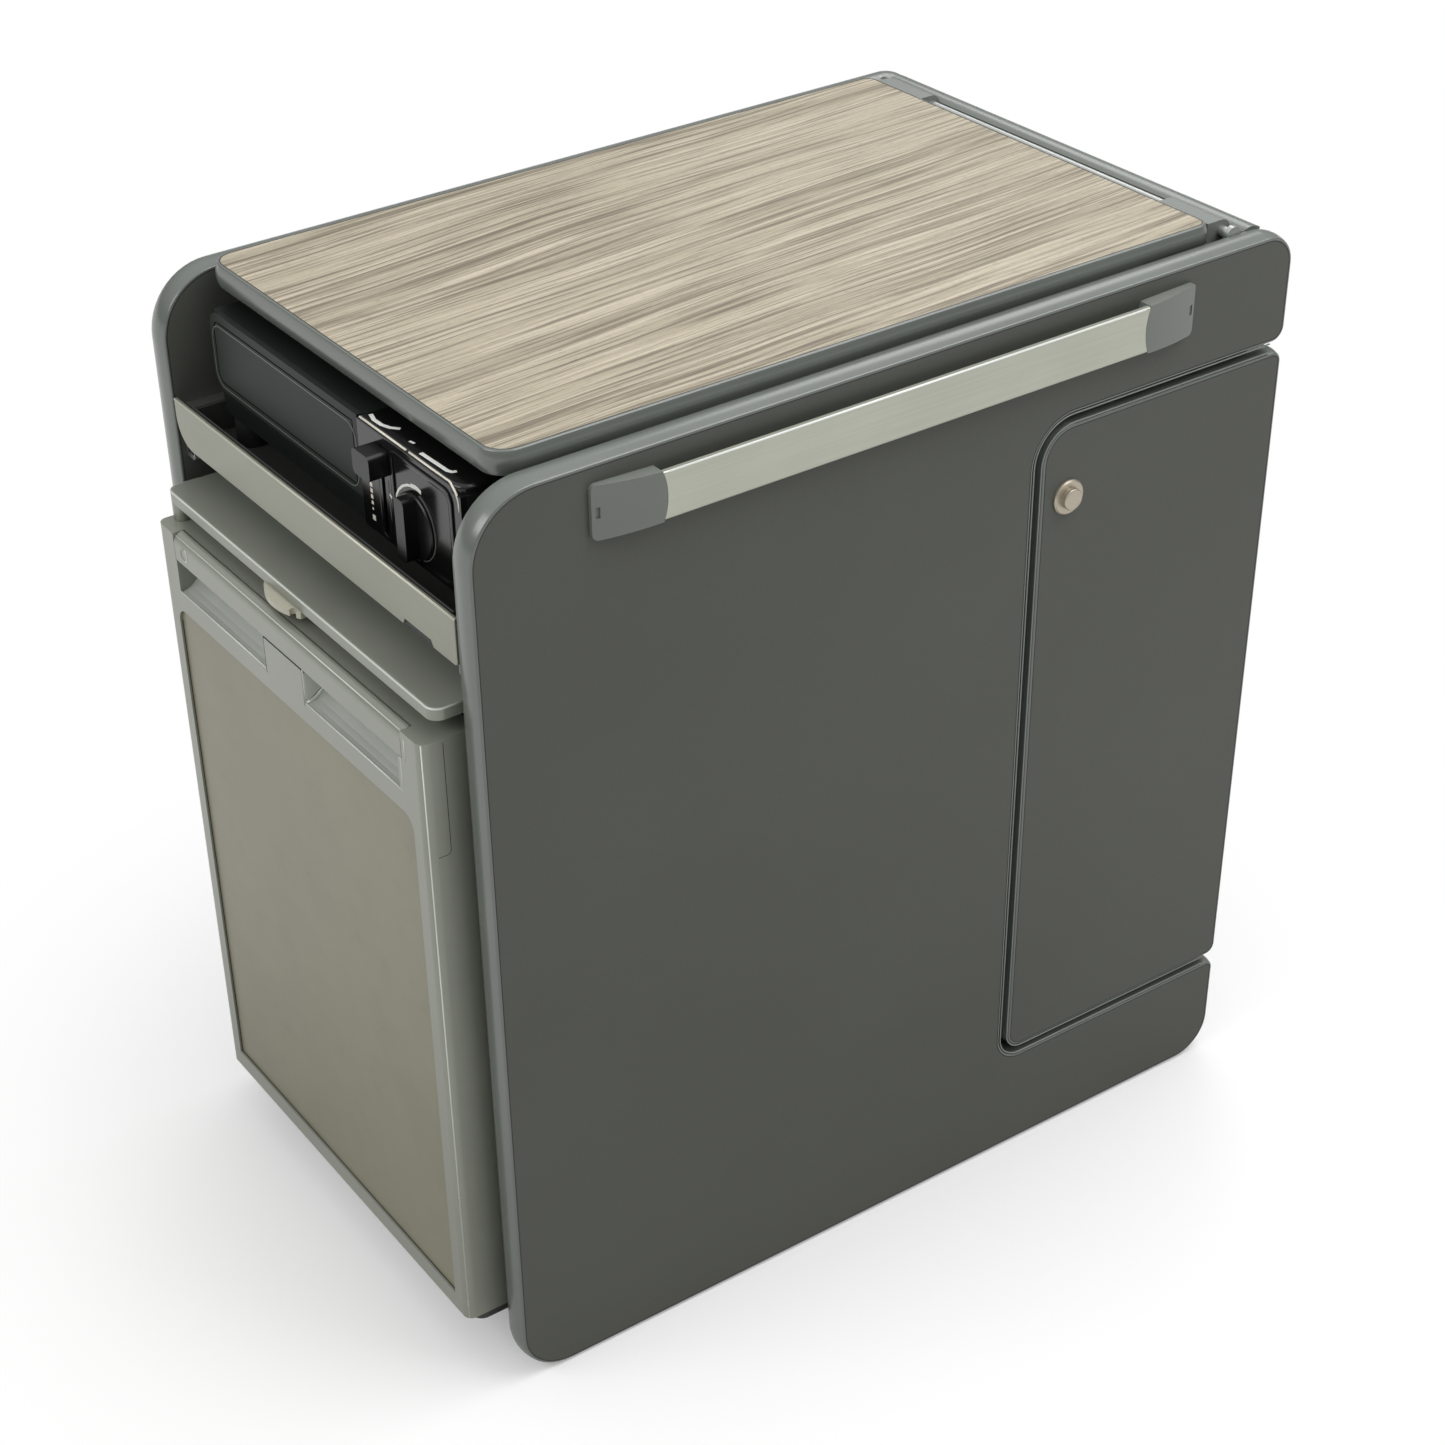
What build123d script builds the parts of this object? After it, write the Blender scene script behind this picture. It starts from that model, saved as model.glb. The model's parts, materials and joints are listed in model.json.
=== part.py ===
from build123d import *
import os

# A kitchen pod for a campervan. Two upright side panels carry a hinged lid, a stove on a
# pull-out tray and a small fridge. A cupboard behind the fridge opens through one side panel.
# +X is the side with the cupboard door, -Y the front with the fridge door, +Z up.
# The origin is at floor level, in the middle of the rectangle that the side panels stand on.
# All sizes are in millimetres.

# Carcass
inner_width = 395.0
pod_depth = 675.0
panel_height = 725.0
panel_thick = 21.0
front_top_radius = 50.0
rear_top_radius = 25.0
front_foot_radius = 42.0
rear_foot_radius = 33.0
rear_board_thick = 16.0
rear_board_inset = 14.5
floor_board_thick = 18.0
floor_board_rise = 15.0
floor_board_setback = 45.0
partition_thick = 12.0
partition_drop = 25.0
partition_gap = 10.0
cupboard_depth = 141.0
shelf_thick = 12.0
shelf_height = 330.0

# Edging that caps every exposed board edge
edging_width = 4.0
edging_crown = 2.2
edging_shoulder = 1.6
tongue_depth = 4.0
tongue_thick = 2.5

# Clearances
slip = 0.3
running_gap = 0.05
overrun = 5.0
near_enough = 0.01

# Cupboard door in the near side panel
door_gap = 5.5
door_foot_arm = 94.5
door_top_arm = 87.0
door_top_radius = 27.5
door_foot_radius = 15.5
door_rear_radius = 10.0
arm_top_radius = 12.0
arm_foot_radius = 9.0

# Butt hinges of the cupboard door
hinge_rebate = 3.0
hinge_offset = 4.0
hinge_length = 60.0
hinge_barrel_radius = 3.5
hinge_pin_radius = 1.5
hinge_leaf_thick = 1.5
fixed_leaf_width = 28.0
moving_leaf_width = 27.0
knuckle_count = 5
knuckle_gap = 0.2
hinge_place_shares = (0.1, 0.5, 0.9)

# Push lock of the cupboard door
lock_setback = 25.45
lock_drop = 56.25
rosette_radius = 13.0
rosette_proud = 2.5
rosette_bevel = 1.0
sleeve_wall = 1.2
button_radius = 8.0
button_proud = 4.5
button_dome = 1.2
lock_case_depth = 15.0
lock_case_gap = 2.5
lock_case_width = 34.0
lock_case_height = 42.0
lock_case_wall = 2.0
lock_case_lead = 2.75
bolt_thick = 8.0
bolt_height = 12.0
bolt_length = 14.0
bolt_shy = 1.5

# Lid
lid_side_gap = 4.7
lid_front_inset = 38.0
lid_rear_inset = 53.0
lid_thick = 17.5
lid_rise = 8.5
lid_front_radius = 20.0
lid_rear_radius = 12.0
laminate_thick = 0.8
batten_thick = 13.5
batten_height = 14.0
batten_front_setback = 123.5
batten_rear_setback = 113.5

# Lid hinge
rod_radius = 4.0
rod_rear_inset = 39.0
rod_drop = 3.0
rod_flange_radius = 6.5
rod_flange_length = 4.0
block_length = 52.0
block_inset = 12.5
block_knuckle_radius = 8.0
block_gap = 0.6
block_leaf_length = 45.0
block_leaf_thick = 4.0
block_screw_radius = 2.0
block_screw_head_radius = 4.0
block_screw_head = 2.2
block_screw_grip = 10.0
block_screw_count = 3

# Towel rail on the near side panel
rail_drop = 33.0
rail_strip_height = 33.0
rail_strip_thick = 5.0
rail_stand_off = 6.0
rail_half_length = 198.0
rail_middle = -4.0
rail_round = 1.5
cap_length = 48.0
cap_outer_height = 38.0
cap_inner_height = 34.5
cap_tip_thick = 3.0
cap_bow = 1.6
cap_seam_sag = 3.0
cap_corner_radius = 4.0
cap_slot_height = 7.5
cap_slot_width = 3.0
cap_slot_inset = 2.5

# Runners and tray of the stove
runner_width = 12.7
runner_rear_gap = 75.0
runner_height = 40.0
runner_drop = 18.0
runner_setback = 8.5
runner_metal = 1.5
tray_metal = 1.5
tray_side_height = 22.0
tray_rear_height = 14.0
lip_front_inset = 2.0
lip_thick = 3.0
lip_side_gap = 3.1
lip_drop = 4.5
lip_height = 34.5
lip_foot_radius = 22.0
lip_near_radius = 3.0
tray_front_gap = 1.5
tray_front_drop = 1.0
lip_round = 0.8
pull_width = 39.0
pull_near_inset = 31.5
pull_depth = 5.0
pull_taper = 3.0
pull_insert_depth = 6.0
pull_insert_side = 3.0
pull_insert_drop = 3.0

# Stove
stove_side_room = 27.5
stove_offset = 2.0
stove_front_inset = 25.0
stove_depth = 275.0
stove_height = 80.0
stove_headroom = 8.0
stove_foot_height = 22.0
stove_wall = 2.0
stove_front_thick = 4.5
front_panel_rise = 21.0
front_panel_radius = 14.0
front_panel_groove = 1.2
front_panel_rim = 6.0
control_width = 129.0
control_rise = 2.0
control_radius = 12.0
cover_thick = 6.0
cover_round = 3.0
deck_thick = 4.0
front_panel_groove_depth = 0.8
foot_radius = 12.0
foot_side_inset = 13.0
foot_end_inset = 17.5
well_margin = 17.5
well_depth = 3.0
burner_radius = 32.0
burner_stem_radius = 26.0
burner_stem_drop = 30.0
burner_height = 5.0
burner_cap_radius = 22.0
burner_cap_height = 2.5
burner_port_radius = 1.5
burner_port_count = 16
grate_thick = 5.0
grate_bar_width = 4.0
grate_ring_radius = 60.0
grate_margin = 9.5
grate_arm_count = 4
grate_arm_inner = 40.0
cartridge_radius = 32.5
cartridge_length = 186.0
cartridge_neck_radius = 14.0
cartridge_neck_length = 8.0
cartridge_shoulder = 10.0
regulator_width = 44.0
regulator_length = 26.0
regulator_height = 50.0
gas_tube_radius = 5.0
gas_tube_drop = 22.0
knob_side = 58.0
knob_rise = 31.0
knob_radius = 22.5
knob_disc_thick = 2.5
knob_grip_width = 11.5
knob_grip_proud = 12.0
knob_spindle_radius = 4.0
lever_side = 30.0
lever_rise = 61.0
lever_width = 22.0
lever_tall = 18.0
lever_proud = 15.0
lever_neck = 4.0
lever_slot_rise = 7.0
lever_slot_height = 64.0
lever_plate = 3.0
lever_plate_side = 5.0

# Fridge
fridge_proud = 26.0
fridge_side_gap = 15.5
fridge_cabinet_front_inset = 18.5
fridge_cabinet_low = 49.0
fridge_headroom = 24.0
fridge_wall = 28.0
fridge_roof = 34.0
fridge_floor = 30.0
fridge_lower_back = 110.0
fridge_upper_back = 40.0
fridge_step_height = 215.0
niche_depth = 95.0
niche_side = 22.0
niche_low = 52.0
niche_high = 200.0
liner_thick = 2.0
top_plate_proud = 15.5
top_plate_side = 7.0
top_plate_rear_gap = 49.0
top_plate_thick = 9.0
top_plate_radius = 9.0
top_plate_round = 1.5
base_plate_thick = 8.0
base_plate_proud = 15.0
fridge_foot_radius = 14.0
fridge_foot_front_setback = 75.0
fridge_foot_rear_setback = 30.0
fridge_foot_side = 40.0

# Fridge door
fridge_door_side = 6.0
fridge_door_foot_gap = 4.0
fridge_door_top_gap = 14.0
fridge_door_thick = 41.5
fridge_door_radius = 7.0
stile_width = 17.0
bottom_rail = 15.0
moulding_height = 63.0
insert_drop = 2.0
insert_top_gap = 0.5
insert_thick = 2.5
insert_radius = 12.0
plug_side_gap = 4.0
plug_foot_gap = 12.0
plug_top_gap = 13.0
plug_depth = 12.0
bin_inset = 13.0
bin_depth = 31.0
bin_height = 45.0
bin_wall = 2.5
bin_place_shares = (0.04, 0.38, 0.72)
gasket_outer_side = 16.0
gasket_band = 16.0
gasket_thick = 2.7

# Handle, finger recesses and hinge pins of the fridge door
handle_inset = 25.5
handle_height = 20.7
handle_thick = 8.0
handle_round = 7.5
handle_gap = 0.5
handle_back_gap = 1.7
handle_pin_radius = 2.0
handle_pin_length = 3.5
handle_axis_back = 5.0
handle_axis_drop = 5.0
recess_drop = 48.0
recess_roof = 4.0
recess_depth = 18.5
recess_rise = 13.0
recess_left_gap = 0.5
recess_right_gap = 5.5
recess_middle = 28.0
door_pin_side = 7.5
door_pin_back = 17.0
door_pin_radius = 4.0
door_pin_bite = 10.0
door_pin_seat = 8.0
door_pin_collar_radius = 6.5
door_socket_spare = 2.0

# Vent latch above the fridge door
latch_left = 42.0
latch_right = 16.0
latch_arc_radius = 50.0
latch_arc_across = 10.5
latch_reach = 24.0
latch_thick = 4.5
latch_gap = 0.3
latch_depth = 20.0
latch_notch_radius = 3.2
latch_notch_inset = 6.5
latch_notch_back = 6.0
latch_pivot_inset = 9.0
latch_pivot_back = 6.0
latch_pivot_radius = 2.5
latch_rivet_radius = 4.5
latch_rivet_thick = 1.5

# Inside the fridge
shelf_glass = 4.0
shelf_front_setback = 62.0
shelf_rear_gap = 4.0
shelf_place_shares = (0.36, 0.66)
shelf_ledge = 4.0
freezer_side_gap = 7.0
freezer_height = 92.0
freezer_front_setback = 112.0
freezer_metal = 2.0
compressor_radius = 40.0
compressor_height = 110.0
compressor_round = 18.0
compressor_across = 60.0

# Brackets that bolt the pod to the floor of the van
bracket_foot = 40.0
bracket_width = 50.0
bracket_metal = 3.0
bracket_bolt_inset = 25.0
bracket_bolt_radius = 3.3
bracket_place = 230.0

# Faces that several pieces share
half_inner = inner_width / 2
half_outer = half_inner + panel_thick
front_y = -pod_depth / 2
rear_y = pod_depth / 2
rear_board_rear = rear_y - rear_board_inset
rear_board_front = rear_board_rear - rear_board_thick
floor_board_top = floor_board_rise + floor_board_thick
door_low = door_foot_arm + door_gap / 2
door_cut_low = door_low - door_gap
door_high = panel_height - door_top_arm - door_gap / 2
door_cut_high = door_high + door_gap
partition_rear = rear_board_front - cupboard_depth
partition_front = partition_rear - partition_thick
case_rear = partition_front - lock_case_gap
case_front = case_rear - lock_case_width
door_front = case_front - lock_case_lead
door_cut_front = door_front - door_gap
lid_top = panel_height + lid_rise
lid_bottom = lid_top - lid_thick
rail_height = panel_height - rail_drop
stove_top = lid_bottom - stove_headroom
stove_low = stove_top - stove_height
tray_floor_top = stove_low - stove_foot_height
runner_low = tray_floor_top - runner_drop
fridge_cabinet_high = runner_low - fridge_headroom
fridge_door_front = front_y - fridge_proud
fridge_door_back = fridge_door_front + fridge_door_thick
fridge_front = front_y + fridge_cabinet_front_inset
fridge_back = partition_front - partition_gap
cabinet_half = half_inner - fridge_side_gap
door_half = cabinet_half + fridge_door_side
cavity_half = cabinet_half - fridge_wall
liner_half = cavity_half - liner_thick
fridge_door_low = fridge_cabinet_low + fridge_door_foot_gap
fridge_door_high = fridge_cabinet_high - fridge_door_top_gap
lid_half = half_inner - lid_side_gap
lid_front = front_y + lid_front_inset
lid_rear = rear_y - lid_rear_inset
rod_y = rear_y - rod_rear_inset
rod_z = panel_height - rod_drop
block_screw_y = lid_rear - block_leaf_length / 2


def facing(y):
    """Return the upright plane at y that looks to the front; solids grow towards -Y."""
    return Plane.XZ.offset(-y)


def across(x):
    """Return the upright plane at x that looks to the near side; solids grow towards +X."""
    return Plane.YZ.offset(x)


def at_height(z):
    """Return the level plane at z; solids grow upwards."""
    return Plane.XY.offset(z)


def box_corners(low, high):
    """Return the corners of the rectangle between two opposite ones, anticlockwise."""
    return [low, (high[0], low[1]), high, (low[0], high[1])]


def slab(plane, corners, radii, thick, mode=Mode.ADD):
    """Extrude from a plane the outline through the corners, each with its own radius."""
    with BuildSketch(plane) as face:
        with BuildLine():
            FilletPolyline(*corners, radius=radii, close=True)
        make_face()
    extrude(face.sketch, amount=thick, mode=mode)


def block(low, high, mode=Mode.ADD):
    """Fill the box between two opposite corners."""
    sharp = [0] * len(box_corners(low, high))
    slab(at_height(low[2]), box_corners(low[:2], high[:2]), sharp, high[2] - low[2], mode)


def round_bar(plane, centre, radius, length, mode=Mode.ADD):
    """Extrude a disc from a plane."""
    with BuildSketch(plane) as end:
        with Locations(centre):
            Circle(radius)
    extrude(end.sketch, amount=length, mode=mode)


def edged_board(plane, corners, radii, thick):
    """Fill a board inside its edging, with the groove that the edging's tongue fills."""
    with BuildSketch(plane) as core:
        with BuildLine():
            FilletPolyline(*corners, radius=radii, close=True)
        make_face()
        offset(amount=-edging_width, mode=Mode.REPLACE)
    extrude(core.sketch, amount=thick)
    with BuildSketch(plane.offset((thick - tongue_thick) / 2)) as groove:
        with BuildLine():
            FilletPolyline(*corners, radius=radii, close=True)
        make_face()
        offset(amount=-edging_width, mode=Mode.REPLACE)
        offset(amount=-tongue_depth, mode=Mode.SUBTRACT)
    extrude(groove.sketch, amount=tongue_thick, mode=Mode.SUBTRACT)


def edging(plane, corners, radii, thick):
    """Sweep the crowned edging, with its tongue, round the outline of a board."""
    with BuildLine(plane) as rim:
        FilletPolyline(*corners, radius=radii, close=True)
    run = rim.wire()
    start = Plane(origin=run @ 0, x_dir=plane.z_dir, z_dir=run % 0)
    with BuildSketch(start) as section:
        with BuildLine():
            Polyline(
                (0, -edging_crown),
                (0, -edging_width),
                (thick, -edging_width),
                (thick, -edging_crown),
            )
            ThreePointArc((thick, -edging_crown), (thick / 2, 0), (0, -edging_crown))
        make_face()
        fillet(section.vertices().group_by(Axis.Y)[-1], edging_shoulder)
        with Locations((thick / 2, -edging_width - tongue_depth / 2)):
            Rectangle(tongue_thick, tongue_depth)
    sweep(section.sketch, path=run)


def edges_near(piece, axis, x=None, y=None, z=None):
    """Return a piece's edges that run along an axis and lie at the given coordinates."""
    found = piece.edges().filter_by(axis)
    for name, wanted in (("X", x), ("Y", y), ("Z", z)):
        if wanted is not None:
            found = found.filter_by(lambda e: abs(getattr(e.center(), name) - wanted) < near_enough)
    return found


def block_screw_places(side):
    """Return where the screws of one lid hinge block stand along X."""
    pitch = block_length / block_screw_count
    first = half_inner - block_inset - block_length + pitch / 2
    return [side * (first + pitch * turn) for turn in range(block_screw_count)]


def mid(low, high):
    """Return the middle of two values."""
    return (low + high) / 2


# Outlines of the side panels and the cupboard door, as corners in Y and Z
far_outline = box_corners((front_y, 0), (rear_y, panel_height))
far_radii = [front_foot_radius, rear_foot_radius, rear_top_radius, front_top_radius]
near_outline = [
    (front_y, 0),
    (rear_y, 0),
    (rear_y, door_cut_low),
    (door_cut_front, door_cut_low),
    (door_cut_front, door_cut_high),
    (rear_y, door_cut_high),
    (rear_y, panel_height),
    (front_y, panel_height),
]
near_radii = [
    front_foot_radius,
    rear_foot_radius,
    arm_foot_radius,
    door_foot_radius + door_gap,
    door_top_radius + door_gap,
    arm_top_radius,
    rear_top_radius,
    front_top_radius,
]
door_outline = box_corners((door_front, door_low), (rear_y, door_high))
door_radii = [door_foot_radius, door_rear_radius, door_rear_radius, door_top_radius]
lid_outline = box_corners((-lid_half, lid_front), (lid_half, lid_rear))
lid_radii = [lid_front_radius, lid_front_radius, lid_rear_radius, lid_rear_radius]

# Side panels: the near one has a notch for the cupboard door
with BuildPart() as near_side_panel:
    edged_board(across(half_inner), near_outline, near_radii, panel_thick)

with BuildPart() as far_side_panel:
    edged_board(across(-half_outer), far_outline, far_radii, panel_thick)

with BuildPart() as near_panel_edging:
    edging(across(half_inner), near_outline, near_radii, panel_thick)

with BuildPart() as far_panel_edging:
    edging(across(-half_outer), far_outline, far_radii, panel_thick)

# Rear panel, cut back beside the cupboard door to leave room for the door's hinge leaves
rear_board_top = panel_height - edging_width
with BuildPart() as rear_panel:
    block(
        (-half_inner, rear_board_front, floor_board_rise),
        (half_inner, rear_board_rear, rear_board_top),
    )
    block(
        (half_inner - hinge_rebate, rear_board_front - overrun, door_cut_low),
        (half_inner + overrun, rear_board_rear + overrun, door_cut_high),
        Mode.SUBTRACT,
    )

with BuildPart() as rear_panel_edging:
    with BuildSketch(across(-half_inner)):
        with BuildLine():
            Polyline(
                (rear_board_front, panel_height - edging_crown),
                (rear_board_front, rear_board_top),
                (rear_board_rear, rear_board_top),
                (rear_board_rear, panel_height - edging_crown),
            )
            ThreePointArc(
                (rear_board_rear, panel_height - edging_crown),
                ((rear_board_front + rear_board_rear) / 2, panel_height),
                (rear_board_front, panel_height - edging_crown),
            )
        make_face()
    extrude(amount=inner_width)

with BuildPart() as floor_board:
    block(
        (-half_inner, front_y + floor_board_setback, floor_board_rise),
        (half_inner, rear_board_front, floor_board_top),
    )

# Partition behind the fridge, and the shelf of the cupboard behind it
with BuildPart() as cupboard_partition:
    block(
        (-half_inner, partition_front, floor_board_top),
        (half_inner, partition_rear, panel_height - partition_drop),
    )
    block(
        (half_inner - hinge_rebate, partition_front - overrun, door_cut_low),
        (half_inner + overrun, partition_rear + overrun, door_cut_high),
        Mode.SUBTRACT,
    )

with BuildPart() as cupboard_shelf:
    block(
        (-half_inner, partition_rear, shelf_height),
        (half_inner - hinge_rebate, rear_board_front, shelf_height + shelf_thick),
    )

# Battens on the side panels that the closed lid rests on
with BuildPart() as lid_battens:
    block(
        (half_inner - batten_thick, front_y + batten_front_setback, lid_bottom - batten_height),
        (half_inner, rear_y - batten_rear_setback, lid_bottom),
    )
    mirror(about=Plane.YZ)

# Brackets under the floor board that bolt the pod down
with BuildPart() as floor_brackets:
    for place in (-bracket_place, bracket_place):
        edge = place - bracket_width / 2
        block(
            (half_inner - bracket_foot, edge, 0),
            (half_inner, edge + bracket_width, bracket_metal),
        )
        block(
            (half_inner - bracket_metal, edge, 0),
            (half_inner, edge + bracket_width, floor_board_rise),
        )
        round_bar(
            at_height(0),
            (half_inner - bracket_bolt_inset, place),
            bracket_bolt_radius,
            bracket_metal,
            Mode.SUBTRACT,
        )
    mirror(about=Plane.YZ)

# Lid: a core board with a wood-grain laminate inside its edging
with BuildPart() as lid_board:
    edged_board(at_height(lid_bottom), lid_outline, lid_radii, lid_thick)
    with BuildSketch(at_height(lid_top - laminate_thick)):
        with BuildLine():
            FilletPolyline(*lid_outline, radius=lid_radii, close=True)
        make_face()
    extrude(amount=laminate_thick, mode=Mode.SUBTRACT)
    for side in (-1, 1):
        for screw_x in block_screw_places(side):
            round_bar(
                at_height(lid_bottom),
                (screw_x, block_screw_y),
                block_screw_radius,
                block_screw_grip,
                Mode.SUBTRACT,
            )

with BuildPart() as lid_laminate:
    with BuildSketch(at_height(lid_top - laminate_thick)):
        with BuildLine():
            FilletPolyline(*lid_outline, radius=lid_radii, close=True)
        make_face()
        offset(amount=-edging_width, mode=Mode.REPLACE)
    extrude(amount=laminate_thick)

with BuildPart() as lid_edging:
    edging(at_height(lid_bottom), lid_outline, lid_radii, lid_thick)

# Lid hinge: a rod with a flange at each end, and two blocks under the lid that turn on it
with BuildPart() as lid_hinge_rod:
    round_bar(across(-half_inner), (rod_y, rod_z), rod_radius, inner_width)
    round_bar(across(half_inner - rod_flange_length), (rod_y, rod_z), rod_flange_radius, rod_flange_length)
    round_bar(across(-half_inner), (rod_y, rod_z), rod_flange_radius, rod_flange_length)

with BuildPart() as lid_hinge_blocks:
    with BuildSketch(across(half_inner - block_inset - block_length)):
        with Locations((rod_y, rod_z)):
            Circle(block_knuckle_radius)
        with BuildLine():
            Polyline(
                (lid_rear - block_leaf_length, lid_bottom),
                (lid_rear - block_leaf_length, lid_bottom - block_leaf_thick),
                (rod_y - block_knuckle_radius, lid_bottom - block_leaf_thick),
                (rod_y, rod_z - block_knuckle_radius),
                (rod_y, rod_z + block_knuckle_radius),
                (lid_rear + block_gap, rod_z + block_knuckle_radius),
                (lid_rear + block_gap, lid_bottom),
                close=True,
            )
        make_face()
        with Locations((rod_y, rod_z)):
            Circle(rod_radius + running_gap, mode=Mode.SUBTRACT)
    extrude(amount=block_length)
    for screw_x in block_screw_places(1):
        round_bar(
            at_height(lid_bottom - block_leaf_thick - overrun),
            (screw_x, block_screw_y),
            block_screw_radius,
            block_leaf_thick + overrun,
            Mode.SUBTRACT,
        )
    mirror(about=Plane.YZ, mode=Mode.ADD)

with BuildPart() as lid_hinge_screws:
    for side in (-1, 1):
        for screw_x in block_screw_places(side):
            round_bar(
                at_height(lid_bottom - block_leaf_thick - block_screw_head),
                (screw_x, block_screw_y),
                block_screw_head_radius,
                block_screw_head,
            )
            round_bar(
                at_height(lid_bottom - block_leaf_thick),
                (screw_x, block_screw_y),
                block_screw_radius,
                block_leaf_thick + block_screw_grip,
            )

# Towel rail: a flat strip between two bowed end caps
rail_front = half_outer + rail_stand_off + rail_strip_thick
rail_fore = rail_middle - rail_half_length
rail_aft = rail_middle + rail_half_length
with BuildPart() as towel_rail_strip:
    with BuildSketch(across(half_outer + rail_stand_off)):
        half_strip = rail_strip_height / 2
        with BuildLine():
            Line((rail_fore, rail_height - half_strip), (rail_aft, rail_height - half_strip))
            ThreePointArc(
                (rail_aft, rail_height - half_strip),
                (rail_aft - cap_seam_sag, rail_height),
                (rail_aft, rail_height + half_strip),
            )
            Line((rail_aft, rail_height + half_strip), (rail_fore, rail_height + half_strip))
            ThreePointArc(
                (rail_fore, rail_height + half_strip),
                (rail_fore + cap_seam_sag, rail_height),
                (rail_fore, rail_height - half_strip),
            )
        make_face()
    extrude(amount=rail_strip_thick)
    fillet(towel_rail_strip.edges().filter_by(Axis.Y), rail_round)

cap_end = rail_aft + cap_length
cap_start = rail_aft + slip
with BuildPart() as towel_rail_caps:
    with BuildSketch(at_height(rail_height - cap_outer_height / 2)):
        with BuildLine():
            Polyline(
                (half_outer + cap_tip_thick, cap_end),
                (half_outer, cap_end),
                (half_outer, cap_start - cap_seam_sag),
                (rail_front, cap_start - cap_seam_sag),
                (rail_front, cap_start),
            )
            ThreePointArc(
                (rail_front, cap_start),
                (
                    (rail_front + half_outer + cap_tip_thick) / 2 + cap_bow,
                    (cap_start + cap_end) / 2,
                ),
                (half_outer + cap_tip_thick, cap_end),
            )
        make_face()
    extrude(amount=cap_outer_height)
    with BuildSketch(across(half_outer)):
        with BuildLine():
            Polyline(
                (cap_start, rail_height + cap_inner_height / 2),
                (cap_end, rail_height + cap_outer_height / 2),
                (cap_end, rail_height - cap_outer_height / 2),
                (cap_start, rail_height - cap_inner_height / 2),
            )
            ThreePointArc(
                (cap_start, rail_height - cap_inner_height / 2),
                (cap_start - cap_seam_sag, rail_height),
                (cap_start, rail_height + cap_inner_height / 2),
            )
        make_face()
    extrude(amount=rail_front - half_outer + overrun, mode=Mode.INTERSECT)
    fillet(edges_near(towel_rail_caps, Axis.X, y=cap_end), cap_corner_radius)
    block(
        (
            half_outer + cap_tip_thick,
            cap_end - cap_slot_inset - cap_slot_width,
            rail_height - cap_slot_height / 2,
        ),
        (rail_front, cap_end - cap_slot_inset, rail_height + cap_slot_height / 2),
        Mode.SUBTRACT,
    )
    mirror(about=facing(rail_middle))

# Cupboard door, with the bore for the lock's sleeve
lock_y = door_front + lock_setback
lock_height = door_high - lock_drop
sleeve_radius = button_radius + running_gap + sleeve_wall
with BuildPart() as cupboard_door:
    edged_board(across(half_inner), door_outline, door_radii, panel_thick)
    round_bar(across(half_inner), (lock_y, lock_height), sleeve_radius, panel_thick, Mode.SUBTRACT)

with BuildPart() as cupboard_door_edging:
    edging(across(half_inner), door_outline, door_radii, panel_thick)

# Butt hinges: fixed leaves on the rear panel, moving leaves inside the door, pins between
hinge_x = half_inner - hinge_offset
hinge_y = rear_board_rear + hinge_offset
knuckle_length = (hinge_length - knuckle_gap * (knuckle_count - 1)) / knuckle_count
hinge_feet = [
    door_low + share * (door_high - door_low) - hinge_length / 2 for share in hinge_place_shares
]


def knuckle_spans(foot, first):
    """Return the low and high ends of every second knuckle of the hinge that starts at foot."""
    pitch = knuckle_length + knuckle_gap
    return [
        (foot + pitch * turn, foot + pitch * turn + knuckle_length)
        for turn in range(first, knuckle_count, 2)
    ]


with BuildPart() as cupboard_hinge_fixed_leaves:
    for foot in hinge_feet:
        leaf_end = hinge_x - hinge_barrel_radius - slip
        block(
            (hinge_x - fixed_leaf_width, rear_board_rear, foot),
            (leaf_end, rear_board_rear + hinge_leaf_thick, foot + hinge_length),
        )
        for low, high in knuckle_spans(foot, 0):
            block(
                (leaf_end, rear_board_rear, low),
                (hinge_x, rear_board_rear + hinge_leaf_thick, high),
            )
            round_bar(at_height(low), (hinge_x, hinge_y), hinge_barrel_radius, high - low)
        round_bar(
            at_height(foot), (hinge_x, hinge_y), hinge_pin_radius, hinge_length, Mode.SUBTRACT
        )

with BuildPart() as cupboard_hinge_moving_leaves:
    for foot in hinge_feet:
        leaf_end = hinge_y - hinge_barrel_radius - slip
        block(
            (half_inner - hinge_leaf_thick, hinge_y - moving_leaf_width, foot),
            (half_inner, leaf_end, foot + hinge_length),
        )
        for low, high in knuckle_spans(foot, 1):
            block(
                (half_inner - hinge_leaf_thick, leaf_end, low),
                (half_inner, hinge_y, high),
            )
            round_bar(at_height(low), (hinge_x, hinge_y), hinge_barrel_radius, high - low)
        round_bar(
            at_height(foot),
            (hinge_x, hinge_y),
            hinge_pin_radius + running_gap,
            hinge_length,
            Mode.SUBTRACT,
        )

with BuildPart() as cupboard_hinge_pins:
    for foot in hinge_feet:
        round_bar(at_height(foot), (hinge_x, hinge_y), hinge_pin_radius, hinge_length)

# Push lock: a flanged sleeve through the door, a case inside, a bolt and a push button
with BuildPart() as lock_rosette:
    round_bar(across(half_outer), (lock_y, lock_height), rosette_radius, rosette_proud)
    chamfer(lock_rosette.edges().group_by(Axis.X)[-1], rosette_bevel)
    round_bar(across(half_inner), (lock_y, lock_height), sleeve_radius, panel_thick)
    round_bar(
        across(half_inner),
        (lock_y, lock_height),
        button_radius + running_gap,
        panel_thick + rosette_proud,
        Mode.SUBTRACT,
    )

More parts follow.
